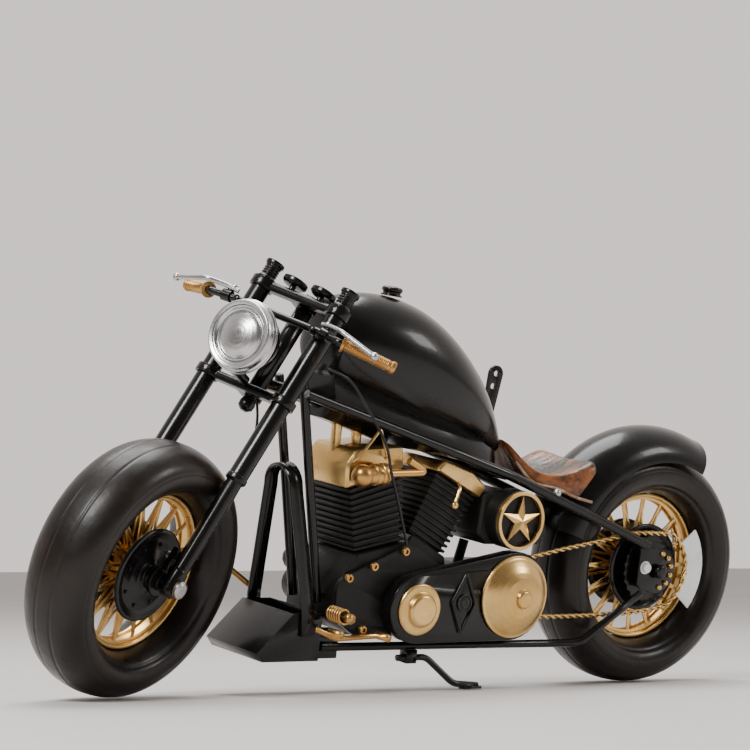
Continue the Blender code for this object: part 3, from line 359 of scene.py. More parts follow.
def softened(profile, radius=0.35, count=3):
    """Round the corners of a profile."""
    points = [Vector((r, h)) for r, h in profile]
    path = [points[0]]
    for before, corner, after in zip(points, points[1:], points[2:]):
        back, ahead = before - corner, after - corner
        reach = min(radius, back.length * 0.45, ahead.length * 0.45)
        start = corner + back.normalized() * reach
        end = corner + ahead.normalized() * reach
        for i in range(count + 1):
            t = i / count
            path.append(start * (1 - t) ** 2 + corner * 2 * t * (1 - t) + end * t * t)
    path.append(points[-1])
    return [(max(p.x, 0.0), p.y) for p in path]


def turned(name, profile, at, body, slot, axis="Z", steps=64, centre=(0, 0, 0), soft=0.35, replaces=(),
           look=None):
    bm = bmesh.new()
    revolve(bm, softened(profile, soft) if soft else profile, steps, axis, centre)
    return piece(name, finish_mesh(bm, name), at, body, slot, replaces, look)


def rounded(points, radius, count=6):
    """Round the corners of a 3-D path."""
    points = [Vector(p) for p in points]
    path = [points[0]]
    for before, corner, after in zip(points, points[1:], points[2:]):
        start = corner + (before - corner).normalized() * radius
        end = corner + (after - corner).normalized() * radius
        for i in range(count + 1):
            t = i / count
            path.append(start * (1 - t) ** 2 + corner * 2 * t * (1 - t) + end * t * t)
    path.append(points[-1])
    return path


def smooth_path(points, per_span=10):
    """A Catmull-Rom curve through the points."""
    points = [Vector(p) for p in points]
    ends = [points[0] * 2 - points[1]] + points + [points[-1] * 2 - points[-2]]
    path = []
    for a, b, c, d in zip(ends, ends[1:], ends[2:], ends[3:]):
        for i in range(per_span):
            t = i / per_span
            path.append(0.5 * (b * 2 + (c - a) * t + (a * 2 - b * 5 + c * 4 - d) * t * t
                               + (b * 3 - a - c * 3 + d) * t ** 3))
    path.append(points[-1])
    return path


def path_frames(path):
    """A steady pair of side directions at each point of a path."""
    tangents = []
    for i in range(len(path)):
        ahead = path[min(i + 1, len(path) - 1)]
        behind = path[max(i - 1, 0)]
        tangents.append((ahead - behind).normalized())
    side = tangents[0].orthogonal().normalized()
    frames = []
    for tangent in tangents:
        side = (side - tangent * side.dot(tangent)).normalized()
        frames.append((tangent, side, tangent.cross(side)))
    return frames


def bridge(bm, rings):
    """Join each ring of vertices to the next by four-sided faces."""
    for one, two in zip(rings, rings[1:]):
        for i in range(len(one)):
            j = (i + 1) % len(one)
            bm.faces.new((one[i], one[j], two[j], two[i]))


def sweep(bm, path, radius, sides=20):
    """A round bar along a path, its ends slightly domed."""
    path = [Vector(p) for p in path]
    loops = []
    for point, (_, side, up) in zip(path, path_frames(path)):
        loops.append([bm.verts.new(point + (side * math.cos(a) + up * math.sin(a)) * radius)
                      for a in (2 * math.pi * i / sides for i in range(sides))])
    bridge(bm, loops)
    ends = [(loops[0], path[0], path[0] - path[1]), (loops[-1], path[-1], path[-1] - path[-2])]
    for loop, at, away in ends:
        tip = bm.verts.new(at + away.normalized() * radius * 0.25)
        for i in range(sides):
            bm.faces.new((loop[i], loop[(i + 1) % sides], tip))


def bar(name, path, radius, at, body, slot, replaces=(), sides=20):
    bm = bmesh.new()
    sweep(bm, path, radius, sides)
    return piece(name, finish_mesh(bm, name, sharp=50), at, body, slot, replaces)


def join(bm, other, turn):
    """Turn one bmesh by a matrix and add it to another."""
    other.transform(turn)
    mesh = bpy.data.meshes.new("joined")
    other.to_mesh(mesh)
    other.free()
    bm.from_mesh(mesh)
    bpy.data.meshes.remove(mesh)


def ball(bm, centre, radius, columns, rows):
    bmesh.ops.create_uvsphere(bm, u_segments=columns, v_segments=rows, radius=radius,
                              matrix=Matrix.Translation(centre))


def pointed_at(direction, centre):
    """A matrix that turns Z to a direction and moves to a centre."""
    turn = Vector(direction).to_track_quat("Z", "Y").to_matrix().to_4x4()
    turn.translation = Vector(centre)
    return turn


def bolt(bm, centre, direction, radius=1.5, height=1.2, sides=6):
    """A hexagonal or round head standing on a surface, with a washer under it."""
    own = bmesh.new()
    revolve(own, [(0, 0.35), (radius * 1.35, 0.35), (radius * 1.35, 0.0), (0, 0.0)], 24)
    revolve(own, softened([(0, height), (radius, height), (radius, 0.3), (0, 0.3)], 0.25, 2), sides)
    join(bm, own, pointed_at(direction, centre))


def bolts(name, centres, direction, at, body, slot, radius=1.5, height=1.2, sides=6):
    bm = bmesh.new()
    for centre in centres:
        bolt(bm, centre, direction, radius, height, sides)
    return piece(name, finish_mesh(bm, name, 0.0001), at, body, slot)


# ---- camera, floor and light ----
CAMERA_EYE = vec(-775.8, -1180.2, 66.6)
CAMERA_YAW = math.radians(38.03)
CAMERA_PITCH = math.radians(3.15)
FLOOR_HALF_SIZE = 6.0
FLOOR_DROP = 0.0004
LIGHTS_AIM_AT = Vector((0, 0, 0.08))


def camera():
    """The photograph's viewpoint: low, from the front left, with a long lens."""
    level = math.cos(CAMERA_PITCH)
    gaze = Vector((math.sin(CAMERA_YAW) * level, math.cos(CAMERA_YAW) * level, math.sin(CAMERA_PITCH)))
    data = bpy.data.cameras.new("camera")
    data.lens = 150.57
    data.sensor_width = 36
    data.clip_start = 0.01
    obj = bpy.data.objects.new("camera", data)
    bpy.context.scene.collection.objects.link(obj)
    obj.location = MACHINE.translation + CAMERA_EYE
    obj.rotation_mode = "QUATERNION"
    obj.rotation_quaternion = gaze.to_track_quat("-Z", "Y")
    bpy.context.scene.camera = obj


def area_light(name, at, size, energy, colour=(1, 1, 1)):
    data = bpy.data.lights.new(name, "AREA")
    data.size = size
    data.energy = energy
    data.color = colour
    obj = bpy.data.objects.new(name, data)
    bpy.context.scene.collection.objects.link(obj)
    obj.location = at
    obj.rotation_euler = (LIGHTS_AIM_AT - Vector(at)).to_track_quat("-Z", "Y").to_euler()


def backdrop():
    """World light, bright ahead of the camera and dim behind it, so that black paint stays black."""
    world = bpy.data.worlds.new("studio")
    world.use_nodes = True
    tree = world.node_tree
    place = tree.nodes.new("ShaderNodeTexCoord")
    ahead = tree.nodes.new("ShaderNodeVectorMath")
    ahead.operation = "DOT_PRODUCT"
    ahead.inputs[1].default_value = (math.sin(CAMERA_YAW), math.cos(CAMERA_YAW), 0.0)
    shade = tree.nodes.new("ShaderNodeMapRange")
    for name, value in (("From Min", -0.6), ("From Max", 0.7), ("To Min", 0.22), ("To Max", 1.75)):
        shade.inputs[name].default_value = value
    tree.links.new(place.outputs["Generated"], ahead.inputs[0])
    tree.links.new(ahead.outputs["Value"], shade.inputs["Value"])
    background = tree.nodes["Background"]
    background.inputs["Color"].default_value = (0.59, 0.55, 0.525, 1)
    tree.links.new(shade.outputs["Result"], background.inputs["Strength"])
    bpy.context.scene.world = world


def ground():
    """A wide pale floor just under the tyres."""
    look = Look("floor").set(Roughness=0.6)
    look.colour(look.ramp(look.noise(3, 3), (0.3, (0.60, 0.58, 0.565)), (0.7, (0.64, 0.62, 0.605))))
    bm = bmesh.new()
    bmesh.ops.create_grid(bm, x_segments=4, y_segments=4, size=FLOOR_HALF_SIZE)
    mesh = bpy.data.meshes.new("floor")
    bm.to_mesh(mesh)
    bm.free()
    mesh.materials.append(look.material)
    floor = bpy.data.objects.new("floor", mesh)
    bpy.context.scene.collection.objects.link(floor)
    floor.location.z = cad_box[0].z - FLOOR_DROP


def studio():
    backdrop()
    area_light("key", (-1.0, -0.35, 1.0), 0.42, 18, (1.0, 0.98, 0.95))
    area_light("top", (0.15, 0.35, 1.3), 0.8, 16)
    area_light("side", (0.9, -0.9, 0.7), 0.35, 4, (1.0, 0.97, 0.93))
    ground()


camera()
studio()


# ---- CAD nodes that stay: their own slot's material, smooth where round, edges softened ----
SOFT_EDGES = {"crankcase": 0.5, "crankcase_cover": 0.4, "front_cylinder": 0.14, "rear_cylinder": 0.14,
              "front_rocker_box": 0.5, "rear_rocker_box": 0.5, "oil_tank": 0.5, "primary_cover": 0.5,
              "skid_pan": 0.7, "shift_plate": 0.25,
              "upper_fork_clamp": 0.4, "lower_fork_clamp": 0.4, "axle_plate_left": 0.25,
              "axle_plate_right": 0.25, "brake_plate": 0.2, "rear_sprocket": 0.2}


def dress_cad_nodes():
    for entry in frame["record"]["subparts"]:
        node = nodes[entry["node"]]
        node.data.materials.clear()
        node.data.materials.append(LOOKS[entry["material_slot"]])
        node.data.shade_smooth()
        node.data.set_sharp_from_angle(angle=math.radians(38))
        weld = node.modifiers.new("weld", "WELD")
        weld.merge_threshold = 0.00001
        width = SOFT_EDGES.get(entry["node"])
        if width:
            edges = node.modifiers.new("edges", "BEVEL")
            edges.width = width * UNIT
            edges.segments = 2
            edges.limit_method = "ANGLE"
            edges.angle_limit = math.radians(38)
            edges.harden_normals = False


dress_cad_nodes()


# ---- wheels, round their own axles ----
RIM_OUT = TYRE_R - 2 * TYRE_HALF_HEIGHT - GAP
RIM_IN = RIM_OUT - 2.2
SPOKE_FOOT = 10.8
SPOKE_DISC_Y = 2.7
SPOKE_PAIRS = 16


def tyre_profile(count=192):
    """Full round section with two fine grooves on the crown, a crease on the sidewall and a bead step."""
    power = 2 / 2.12
    section = []
    for i in range(count):
        a = 2 * math.pi * i / count
        c, s = math.cos(a), math.sin(a)
        r = TYRE_R - TYRE_HALF_HEIGHT + TYRE_HALF_HEIGHT * math.copysign(abs(c) ** power, c)
        y = TYRE_HALF_WIDTH * math.copysign(abs(s) ** power, s)
        sink = 0.0
        for groove, depth, width in ((4.2, 0.36, 0.42), (-4.2, 0.36, 0.42)):
            if c > 0:
                sink += depth * math.exp(-((y - groove) / width) ** 2)
        crease = 0.16 * math.exp(-((r - 50.4) / 0.6) ** 2) + 0.4 * math.exp(-((r - 41.6) / 0.8) ** 2)
        inward = Vector((math.copysign(abs(c), -c), -s)).normalized()
        section.append((r + inward.x * (sink + crease), y + inward.y * (sink + crease)))
    return section


def tyre(name, at, body):
    bm = bmesh.new()
    revolve(bm, tyre_profile(), 160, "Y", closed=True)
    for vertex in bm.verts:
        lump = noise.noise(vertex.co * 0.045 + Vector((len(name), 3.1, 0.7)))
        vertex.co *= 1.0 + 0.0022 * lump
    node = name.replace("_looks", "")
    piece(name, finish_mesh(bm, name, 0.001, None), at, body, "tyre_rubber", (node,))


def flat_bar(bm, start, end, width, depth, normal):
    """A stamped bar with rounded shoulders between two points."""
    start, end, normal = Vector(start), Vector(end), Vector(normal)
    across = (end - start).normalized().cross(normal)
    section = [(-0.5, -0.28), (-0.34, -0.5), (0.34, -0.5), (0.5, -0.28), (0.5, 0.28), (0.34, 0.5),
               (-0.34, 0.5), (-0.5, 0.28)]
    loops = [[bm.verts.new(p + across * (w * width) + normal * (d * depth)) for w, d in section]
             for p in (start, end)]
    bridge(bm, loops)
    bm.faces.new(list(reversed(loops[0])))
    bm.faces.new(loops[1])


def spokes(name, at, body):
    """Two stamped zigzag discs between a centre ring and the rim, half a pitch apart."""
    bm = bmesh.new()
    pitch = 2 * math.pi / SPOKE_PAIRS
    for y, phase in ((-SPOKE_DISC_Y, 0.0), (SPOKE_DISC_Y, pitch / 2)):
        foot_y = y * 1.15
        for i in range(SPOKE_PAIRS):
            foot = pitch * (i + 0.5) + phase
            for turn in (-0.5, 0.5):
                tip = foot + pitch * turn
                near = (SPOKE_FOOT * math.cos(foot), foot_y, SPOKE_FOOT * math.sin(foot))
                far = ((RIM_IN + 0.4) * math.cos(tip), y, (RIM_IN + 0.4) * math.sin(tip))
                flat_bar(bm, near, far, 1.25, 0.9, (0, 1, 0))
        ring = [(RIM_IN + 0.8, -y - 0.6), (RIM_IN + 0.8, -y + 0.6), (RIM_IN - 0.9, -y + 0.55),
                (RIM_IN - 0.9, -y - 0.55)]
        revolve(bm, softened(ring + ring[:1], 0.2), 96, "Y")
        centre = [(SPOKE_FOOT + 1.2, -foot_y - 0.7), (SPOKE_FOOT + 1.2, -foot_y + 0.7), (9.8, -foot_y + 0.7),
                  (9.8, -foot_y - 0.7)]
        revolve(bm, softened(centre + centre[:1], 0.2), 64, "Y")
    rim = [(RIM_OUT + 0.2, 5.2), (RIM_OUT - 0.7, 5.5), (RIM_OUT - 1.4, 5.2), (RIM_OUT - 1.5, 3.6),
           (RIM_IN + 0.1, 2.6)]
    rim += [(r, -h) for r, h in reversed(rim)]
    rim.append(rim[0])
    revolve(bm, softened(rim, 0.3), 128, "Y")
    revolve(bm, [(9.9, 5.4), (9.9, -5.4), (8.6, -5.4), (8.6, 5.4), (9.9, 5.4)], 48, "Y")
    piece(name + "_looks", finish_mesh(bm, name), at, body, "gold_finish", (name,))


def hub(name, at, body, reach):
    """Dished black discs with a rolled lip, a ring of rivets and spacers out to the fork or plates."""
    side = [(2.34, reach), (4.0, reach), (4.0, 12.6), (5.4, 12.2), (5.6, 10.6), (8.2, 9.4), (12.0, 8.5),
            (17.0, 8.3), (19.2, 9.1), (20.4, 9.7), (21.6, 9.4), (22.0, 8.6), (21.7, 7.6), (20.4, 6.6),
            (18.0, 6.2), (8.0, 6.0)]
    profile = side + [(r, -h) for r, h in reversed(side)] + side[:1]
    bm = bmesh.new()
    revolve(bm, softened(profile, 0.4), 96, "Y")
    for flip in (-1, 1):
        for i in range(8):
            a = 2 * math.pi * (i + 0.3) / 8
            bolt(bm, (14.6 * math.cos(a), flip * 8.35, 14.6 * math.sin(a)), (0, flip, 0), 0.85, 0.9, 16)
    piece(name + "_looks", finish_mesh(bm, name, 0.0001), at, body, "black_enamel", (name,))


def wheels():
    tyre("front_tyre_looks", FRONT_WHEEL, "front_wheel")
    tyre("rear_tyre_looks", REAR_WHEEL, "rear_wheel")
    spokes("front_spokes", FRONT_WHEEL, "front_wheel")
    spokes("rear_spokes", REAR_WHEEL, "rear_wheel")
    hub("front_hub", FRONT_WHEEL, "front_wheel", 17.7)
    hub("rear_hub", REAR_WHEEL, "rear_wheel", 18.0)
    bolts("hub_pin", [(5.0, -8.4, 13.6)], (0, -1, 0), FRONT_WHEEL, "front_wheel", "silver_metal",
          1.2, 2.2, 20)
    nut = [(0, 29.0), (2.9, 29.0), (3.3, 28.6), (4.2, 28.2), (4.2, 26.2), (2.0, 26.2), (2.0, 0)]
    profile = nut + [(r, -h) for r, h in reversed(nut)]
    turned("front_axle_looks", profile, FRONT_WHEEL, "steering", "silver_metal", "Y", 48,
           replaces=("front_axle",))


wheels()


# ---- fork, bars, lamp ----
LOWER_CLAMP_Z = 97.0
UPPER_CLAMP_Z = 145.6


def fork_leg(name, side):
    """Telescopic leg: slim lower tube, stepped upper tube, threaded neck and a flared lip."""
    profile = [(0, FORK_TOP - 1.2), (3.1, FORK_TOP - 1.2), (3.4, FORK_TOP), (4.6, FORK_TOP),
               (4.6, FORK_TOP - 1.5), (3.9, FORK_TOP - 2.2)]
    for i in range(4):
        thread = FORK_TOP - 2.8 - 1.3 * i
        profile += [(3.9, thread), (3.5, thread - 0.4), (3.5, thread - 0.7), (3.9, thread - 1.1)]
    profile += [(4.6, 148.8), (4.6, 57.8), (5.0, 57.5), (5.0, 55.4), (4.4, 54.8), (3.8, 54.4), (3.8, 8.0),
                (4.2, 7.4), (4.2, -3.8), (2.6, -5.2), (0, -5.4)]
    bm = bmesh.new()
    revolve(bm, softened(profile, 0.3), 64, "Z", (-TRAIL_OFFSET, side * FORK_Y, 0))
    if side < 0:
        arm = [(-TRAIL_OFFSET, -14.9, 13.2), (-TRAIL_OFFSET, -FORK_Y, 13.2)]
        sweep(bm, arm, 1.6, 20)
        flat_bar(bm, (-TRAIL_OFFSET, -14.9, 4.6), (-TRAIL_OFFSET, -14.9, 16.4), 5.4, 2.0, (0, 1, 0))
        eye = [(4.4, 13.9), (7.2, 13.9), (7.2, 15.9), (4.4, 15.9), (4.4, 13.9)]
        revolve(bm, softened(eye, 0.3), 48, "Y", (-TRAIL_OFFSET, 0, 0))
    bolt(bm, (-TRAIL_OFFSET - 4.4, side * FORK_Y, LOWER_CLAMP_Z + 0.4), (-1, 0, 0), 1.3, 1.6)
    bolt(bm, (-TRAIL_OFFSET - 4.4, side * FORK_Y, UPPER_CLAMP_Z), (-1, 0, 0), 1.3, 1.6)
    piece(name + "_looks", finish_mesh(bm, name, 0.0001), STEERING, "steering", "black_enamel", (name,))


BAR_MID = (-17.4, 0, 131.4)
GRIP_IN = (-18.2, 39.0, 130.2)
GRIP_OUT = (-4.0, 61.0, 133.0)


def mirrored(point, side):
    return (point[0], point[1] * side, point[2])


def grip(name, side):
    """Ribbed brass sleeve between two flanges, closed by a domed end."""
    start, end = Vector(mirrored(GRIP_IN, side)), Vector(mirrored(GRIP_OUT, side))
    length = (end - start).length
    profile = [(1.9, 0.0), (3.8, 0.0), (3.8, 1.3), (2.5, 1.8)]
    ribs = 24
    for i in range(ribs):
        z = 2.4 + i * (length - 5.6) / ribs
        profile += [(2.5, z), (2.8, z + 0.2), (2.8, z + 0.46), (2.5, z + 0.66)]
    profile += [(2.5, length - 2.2), (2.95, length - 1.9), (2.95, length - 0.5), (2.2, length + 0.1),
                (0, length + 0.3)]
    turn = STEERING @ pointed_at(end - start, start * UNIT)
    turned(name + "_looks", profile, turn, "steering", "bronze_finish", steps=40, soft=0.12, replaces=(name,))


def handlebar():
    bend = (-19.1, 37.6, 130.0)
    half = [(BAR_MID[0], 24.0, BAR_MID[2]), bend, GRIP_OUT]
    path = [mirrored(p, -1) for p in reversed(half)] + half
    bm = bmesh.new()
    sweep(bm, rounded(path, 1.2), 1.7, 24)
    for side in (-1, 1):
        clamp = Vector((-TRAIL_OFFSET - 4.6 - GAP - 2.1, side * FORK_Y, BAR_MID[2] - 0.2))
        reach = Vector((2.1, 0, 0))
        flat_bar(bm, clamp - reach, clamp + reach, 3.4, 4.0, (0, 0, 1))
        perch = [(BAR_MID[0] - 0.2, side * 26.6, BAR_MID[2] - 0.1),
                 (BAR_MID[0] - 0.6, side * 31.0, BAR_MID[2] - 0.5)]
        sweep(bm, perch, 2.8, 28)
        bolt(bm, (BAR_MID[0] - 0.4, side * 28.6, BAR_MID[2] + 2.2), (0, 0, 1), 1.2, 1.3, 20)
        bolt(bm, (BAR_MID[0] - 2.6, side * FORK_Y, BAR_MID[2] - 0.2), (-1, 0, 0), 1.1, 0.9)
    mesh = finish_mesh(bm, "handlebar", 0.0001)
    piece("handlebar_looks", mesh, STEERING, "steering", "black_enamel", ("handlebar",))


def lever(name, side, body):
    bends = [(-17.6, 24.6, 135.2), (-20.0, 31.0, 135.0), (-24.0, 39.5, 133.4), (-18.8, 57.8, 130.0)]
    points = [mirrored(p, side) for p in bends]
    bm = bmesh.new()
    sweep(bm, rounded(points, 2.0), 1.2, 20)
    ball(bm, points[-1], 2.0, 24, 16)
    bolt(bm, (BAR_MID[0] - 0.4, side * 27.4, 135.9), (0, 0, 1), 1.5, 1.1, 20)
    piece(name + "_looks", finish_mesh(bm, name, 0.0001), STEERING, body, "silver_metal", (name,))


def gauge(name, y):
    low = UPPER_CLAMP_Z + 2.2 + GAP
    profile = [(0, low + 5.0), (5.2, low + 5.0), (5.6, low + 5.6), (6.2, low + 5.4), (6.2, low + 3.4),
               (5.0, low + 2.4), (1.5, low + 2.0), (1.5, low), (0, low)]
    turned(name + "_looks", profile, STEERING, "steering", "black_enamel", steps=48, centre=(-6.2, y, 0),
           replaces=(name,))


def headlight():
    """Bucket with a strap to the clamp, double-lipped bezel and a domed spun reflector glass."""
    bucket = [(0, -5.4), (14.6, -5.4), (15.2, -6.2), (15.0, -8.0), (14.6, -10.0), (12.4, -15.0), (8.4, -18.6),
              (3.6, -20.0), (0, -20.2)]
    bm = bmesh.new()
    revolve(bm, softened(bucket, 0.8, 4), 96)
    mesh = finish_mesh(bm, "headlight_bucket")
    piece("headlight_bucket_looks", mesh, LAMP, "steering", "black_enamel", ("headlight_bucket",))
    bm = bmesh.new()
    flat_bar(bm, (-24.0, 0, LOWER_CLAMP_Z + 1.8), (-10.6, 0, LOWER_CLAMP_Z + 1.8), 3.6, 4.4, (0, 0, 1))
    piece("lamp_strap", finish_mesh(bm, "lamp_strap"), STEERING, "steering", "black_enamel")
    bezel = [(13.9, 1.0), (15.2, 1.5), (15.9, 1.1), (16.3, 0.1), (16.4, -2.4), (16.7, -2.7), (17.2, -3.1),
             (17.2, -3.7), (16.8, -3.9), (16.8, -4.3), (17.2, -4.6), (17.0, -5.0), (14.0, -5.0), (13.9, 0.4),
             (13.9, 1.0)]
    turned("headlight_bezel_looks", bezel, LAMP, "steering", "silver_metal", steps=128, soft=0.2,
           replaces=("headlight_bezel",), look=SPUN)
    dome = [(0, 3.0), (2.5, 2.9), (5.0, 2.5), (7.5, 1.8), (9.4, 0.9), (10.6, 0.1), (11.1, -0.5), (11.6, -0.7),
            (12.2, -0.4), (12.9, 0.5), (13.88, 0.8), (13.88, -4.0), (0, -4.0)]
    turned("headlight_lens_looks", dome, LAMP, "steering", "silver_metal", steps=128, soft=0.4,
           replaces=("headlight_lens",), look=SPUN)


def front_end():
    fork_leg("fork_leg_left", -1)
    fork_leg("fork_leg_right", 1)
    handlebar()
    grip("grip_left", -1)
    grip("grip_right", 1)
    lever("clutch_lever", -1, "left_lever")
    lever("brake_lever", 1, "right_lever")
    gauge("gauge_left", -8.2)
    gauge("gauge_right", 8.2)
    headlight()
    cable = [(-8.0, -8.5, 94.4), (-5.2, -14.0, 84.0), (-1.9, -19.6, 66.0), (-2.6, -22.4, 50.0),
             (-2.9, -22.2, 28.0), (-3.0, -19.6, 12.0), (-1.2, -17.4, 6.4)]
    bar("brake_cable_looks", smooth_path(cable), 0.62, STEERING, "steering", "black_enamel",
        ("brake_cable",), 14)


front_end()


# ---- frame tubes ----
def frame_tubes():
    rail = [(78.0, 14.0, 141.0), (168.0, 16.5, 115.6), (198.0, 21.6, 106.4), (243.0, 22.4, 90.6),
            (292.0, 22.4, 72.6)]
    cradle = [(98.0, 18.0, 24.4), (236.0, 18.2, 23.6), (254.0, 22.6, 24.4), (272.0, 22.6, 36.6),
              (290.5, 22.6, 48.6)]
    down = [(78.2, 9.5, 147.0), (99.6, 9.5, 44.0)]
    for side, sign in (("left", -1), ("right", 1)):
        rail_path = rounded([mirrored(p, sign) for p in rail], 5.0)
        bar("frame_rail_" + side + "_looks", rail_path, 2.4, MACHINE, "frame", "black_enamel",
            ("frame_rail_" + side,), 28)
        bar("down_tube_" + side + "_looks", [mirrored(p, sign) for p in down], 2.2, MACHINE, "frame",
            "black_enamel", ("down_tube_" + side,), 28)
    ends = [mirrored(rail[0], sign) for sign in (-1, 1)]
    bolts("rail_caps", ends, (-0.96, 0, 0.27), MACHINE, "frame", "silver_metal", 1.5, 0.7, 24)
    bar("cradle_tube_right_looks", rounded(cradle, 5.0), 2.0, MACHINE, "frame", "black_enamel",
        ("cradle_tube_right",), 24)


frame_tubes()


# ---- tank, seat, rear fender ----
def cage_mesh(name, stations, levels):
    """Loft rings of points, close both ends and smooth the cage by subdivision."""
    bm = bmesh.new()
    rings = [[bm.verts.new(p) for p in station] for station in stations]
    bridge(bm, rings)
    bm.faces.new(list(reversed(rings[0])))
    bm.faces.new(rings[-1])
    bmesh.ops.recalc_face_normals(bm, faces=bm.faces)
    mesh = bpy.data.meshes.new(name)
    bm.to_mesh(mesh)
    bm.free()
    obj = bpy.data.objects.new(name, mesh)
    bpy.context.scene.collection.objects.link(obj)
    smooth = obj.modifiers.new("smooth", "SUBSURF")
    smooth.levels = levels
    bpy.context.view_layer.update()
    made = bpy.data.meshes.new_from_object(obj.evaluated_get(bpy.context.evaluated_depsgraph_get()))
    bpy.data.objects.remove(obj, do_unlink=True)
    made.name = name
    return made


def scaled(mesh):
    mesh.transform(Matrix.Scale(UNIT, 4))
    mesh.shade_smooth()
    return mesh


TANK_ROWS = [(90.5, 181.0, 152.0, 14.0), (95.0, 187.0, 147.0, 20.0), (116.0, 190.5, 139.0, 27.0),
             (140.0, 187.5, 131.5, 30.0), (164.0, 174.0, 124.0, 28.0), (186.0, 152.0, 117.0, 19.0),
             (199.0, 131.0, 113.6, 9.0), (204.0, 122.0, 114.6, 5.0)]
LOBE_AT = (139.0, 161.0)
LOBE_LENGTH = 47.0
LOBE_HEIGHT = 21.0
LOBE_STEP = 1.1
LOBE_SHARPNESS = 34.0


def tank():
    """Teardrop tank with a pressed lobe on each side, lofted from rows of x, top, bottom, half width."""
    stations = []
    for x, top, bottom, half in TANK_ROWS:
        height = top - bottom
        side = [(0.0, top), (0.62 * half, top - 0.10 * height), (half, bottom + 0.58 * height),
                (0.94 * half, bottom + 0.24 * height), (0.5 * half, bottom)]
        stations.append([(x, y, z) for y, z in side] + [(x, -y, z) for y, z in reversed(side[1:])])
    mesh = cage_mesh("fuel_tank", stations, 4)
    for vertex in mesh.vertices:
        x, y, z = vertex.co
        back, up = x - LOBE_AT[0], z - LOBE_AT[1]
        along = back * 0.86 + up * 0.62
        across = up * 0.86 + back * 0.34
        reach = math.hypot(along / LOBE_LENGTH, across / LOBE_HEIGHT)
        if abs(y) > 6.0:
            rise = 1.0 / (1.0 + math.exp((reach - 1.0) * LOBE_SHARPNESS))
            vertex.co.y += math.copysign(LOBE_STEP * (rise - 1.0), y)
    piece("fuel_tank_looks", scaled(mesh), MACHINE, "frame", "black_enamel", ("fuel_tank",))


def tank_tunnel():
    """Dark tray between the tank and the frame rails, with a keel that gets shallower rearward."""
    bm = bmesh.new()
    loops = []
    for x, _, bottom, half in TANK_ROWS[1:-1]:
        low = 141.0 - (x - 78.0) * 0.282
        wide = min(12.5 + (x - 78.0) * 0.05, 0.9 * half)
        keel = low - 7.0 * min(1.0, max(0.0, (184.0 - x) / 44.0))
        side = [(wide * 0.7, bottom + 5.0), (wide, low + 3.0), (wide, low - 0.6), (5.0, keel)]
        corners = side + [(-y, z) for y, z in reversed(side)]
        loops.append([bm.verts.new((x, y, z)) for y, z in corners])
    bridge(bm, loops)
    bm.faces.new(loops[0])
    bm.faces.new(loops[-1])
    piece("tank_tunnel", finish_mesh(bm, "tank_tunnel"), MACHINE, "frame", "black_enamel")


def filler_cap():
    profile = [(0, 4.6), (1.6, 4.7), (3.6, 4.4), (4.4, 4.2), (5.0, 3.6), (5.0, 2.4), (4.3, 2.0), (4.3, 0.9),
               (5.2, 0.7), (5.2, 0.0), (0, 0.0)]
    at = MACHINE @ Matrix.Translation(vec(131.0, 0, 187.0)) @ Matrix.Rotation(math.radians(5), 4, "Y")
    turned("filler_cap_looks", profile, at, "frame", "black_enamel", steps=64, replaces=("filler_cap",))


SEAT_ROWS = [(205.8, 122.5, 119.0, 5.0, 0.0, 119.4), (210.0, 117.0, 110.4, 11.0, 0.0, 111.0),
             (217.0, 108.0, 101.5, 17.5, 1.5, 102.0), (228.0, 105.0, 99.4, 22.0, 4.0, 99.4),
             (240.0, 107.5, 95.4, 24.4, 6.0, 96.6), (250.0, 113.0, 93.2, 25.0, 4.0, 108.2),
             (253.6, 114.0, 94.6, 24.0, 2.0, 111.6)]
SEAT_CLEAR_R = 72.0


def seat():
    """Saddle with a raised nose, a dished middle and a wide rear, from rows of x, top, low edge, half
    width, dish and belly; it is creased on top and cut clear of the rear fender."""
    stations = []
    for x, top, low, half, dish, belly in SEAT_ROWS:
        right = [(x, 0, top - dish * 0.4), (x, 0.55 * half, top), (x, 0.95 * half, top + dish * 0.5),
                 (x, half, (top + low) / 2), (x, 0.95 * half, low), (x, 0.82 * half, low + 0.6),
                 (x, 0.5 * half, belly - 0.6), (x, 0.0, belly)]
        stations.append(right + [(x, -y, z) for x, y, z in reversed(right[1:-1])])
    mesh = cage_mesh("seat", stations, 4)
    worn = mesh.attributes.new("worn", "FLOAT", "POINT")
    for vertex, value in zip(mesh.vertices, worn.data):
        x, y, z = vertex.co
        half = 5.0 + 20.0 * min(1.0, (x - 205.0) / 30.0)
        edge = abs(y) / half
        value.value = 0.15 + 0.5 * max(0.0, 1.0 - edge ** 2.2) * min(1.0, max(0.0, (x - 206.0) / 12.0))
        upward = vertex.normal.z
        if upward > 0.15:
            wrinkle = noise.noise(Vector((x * 0.11, y * 0.32, 2.0)))
            fold = math.sin(x * 0.55 + abs(y) * 0.25 + wrinkle * 3.0)
            vertex.co.z += 0.22 * wrinkle * upward + 0.10 * fold * upward * (1.0 - edge)
        from_axle = Vector((vertex.co.x - WHEELBASE, vertex.co.z - TYRE_R))
        if from_axle.length < SEAT_CLEAR_R:
            pushed = from_axle.normalized() * SEAT_CLEAR_R
            vertex.co.x = pushed.x + WHEELBASE
            vertex.co.z = pushed.y + TYRE_R
    obj = piece("seat_looks", scaled(mesh), MACHINE, "frame", "seat_leather", ("seat",))


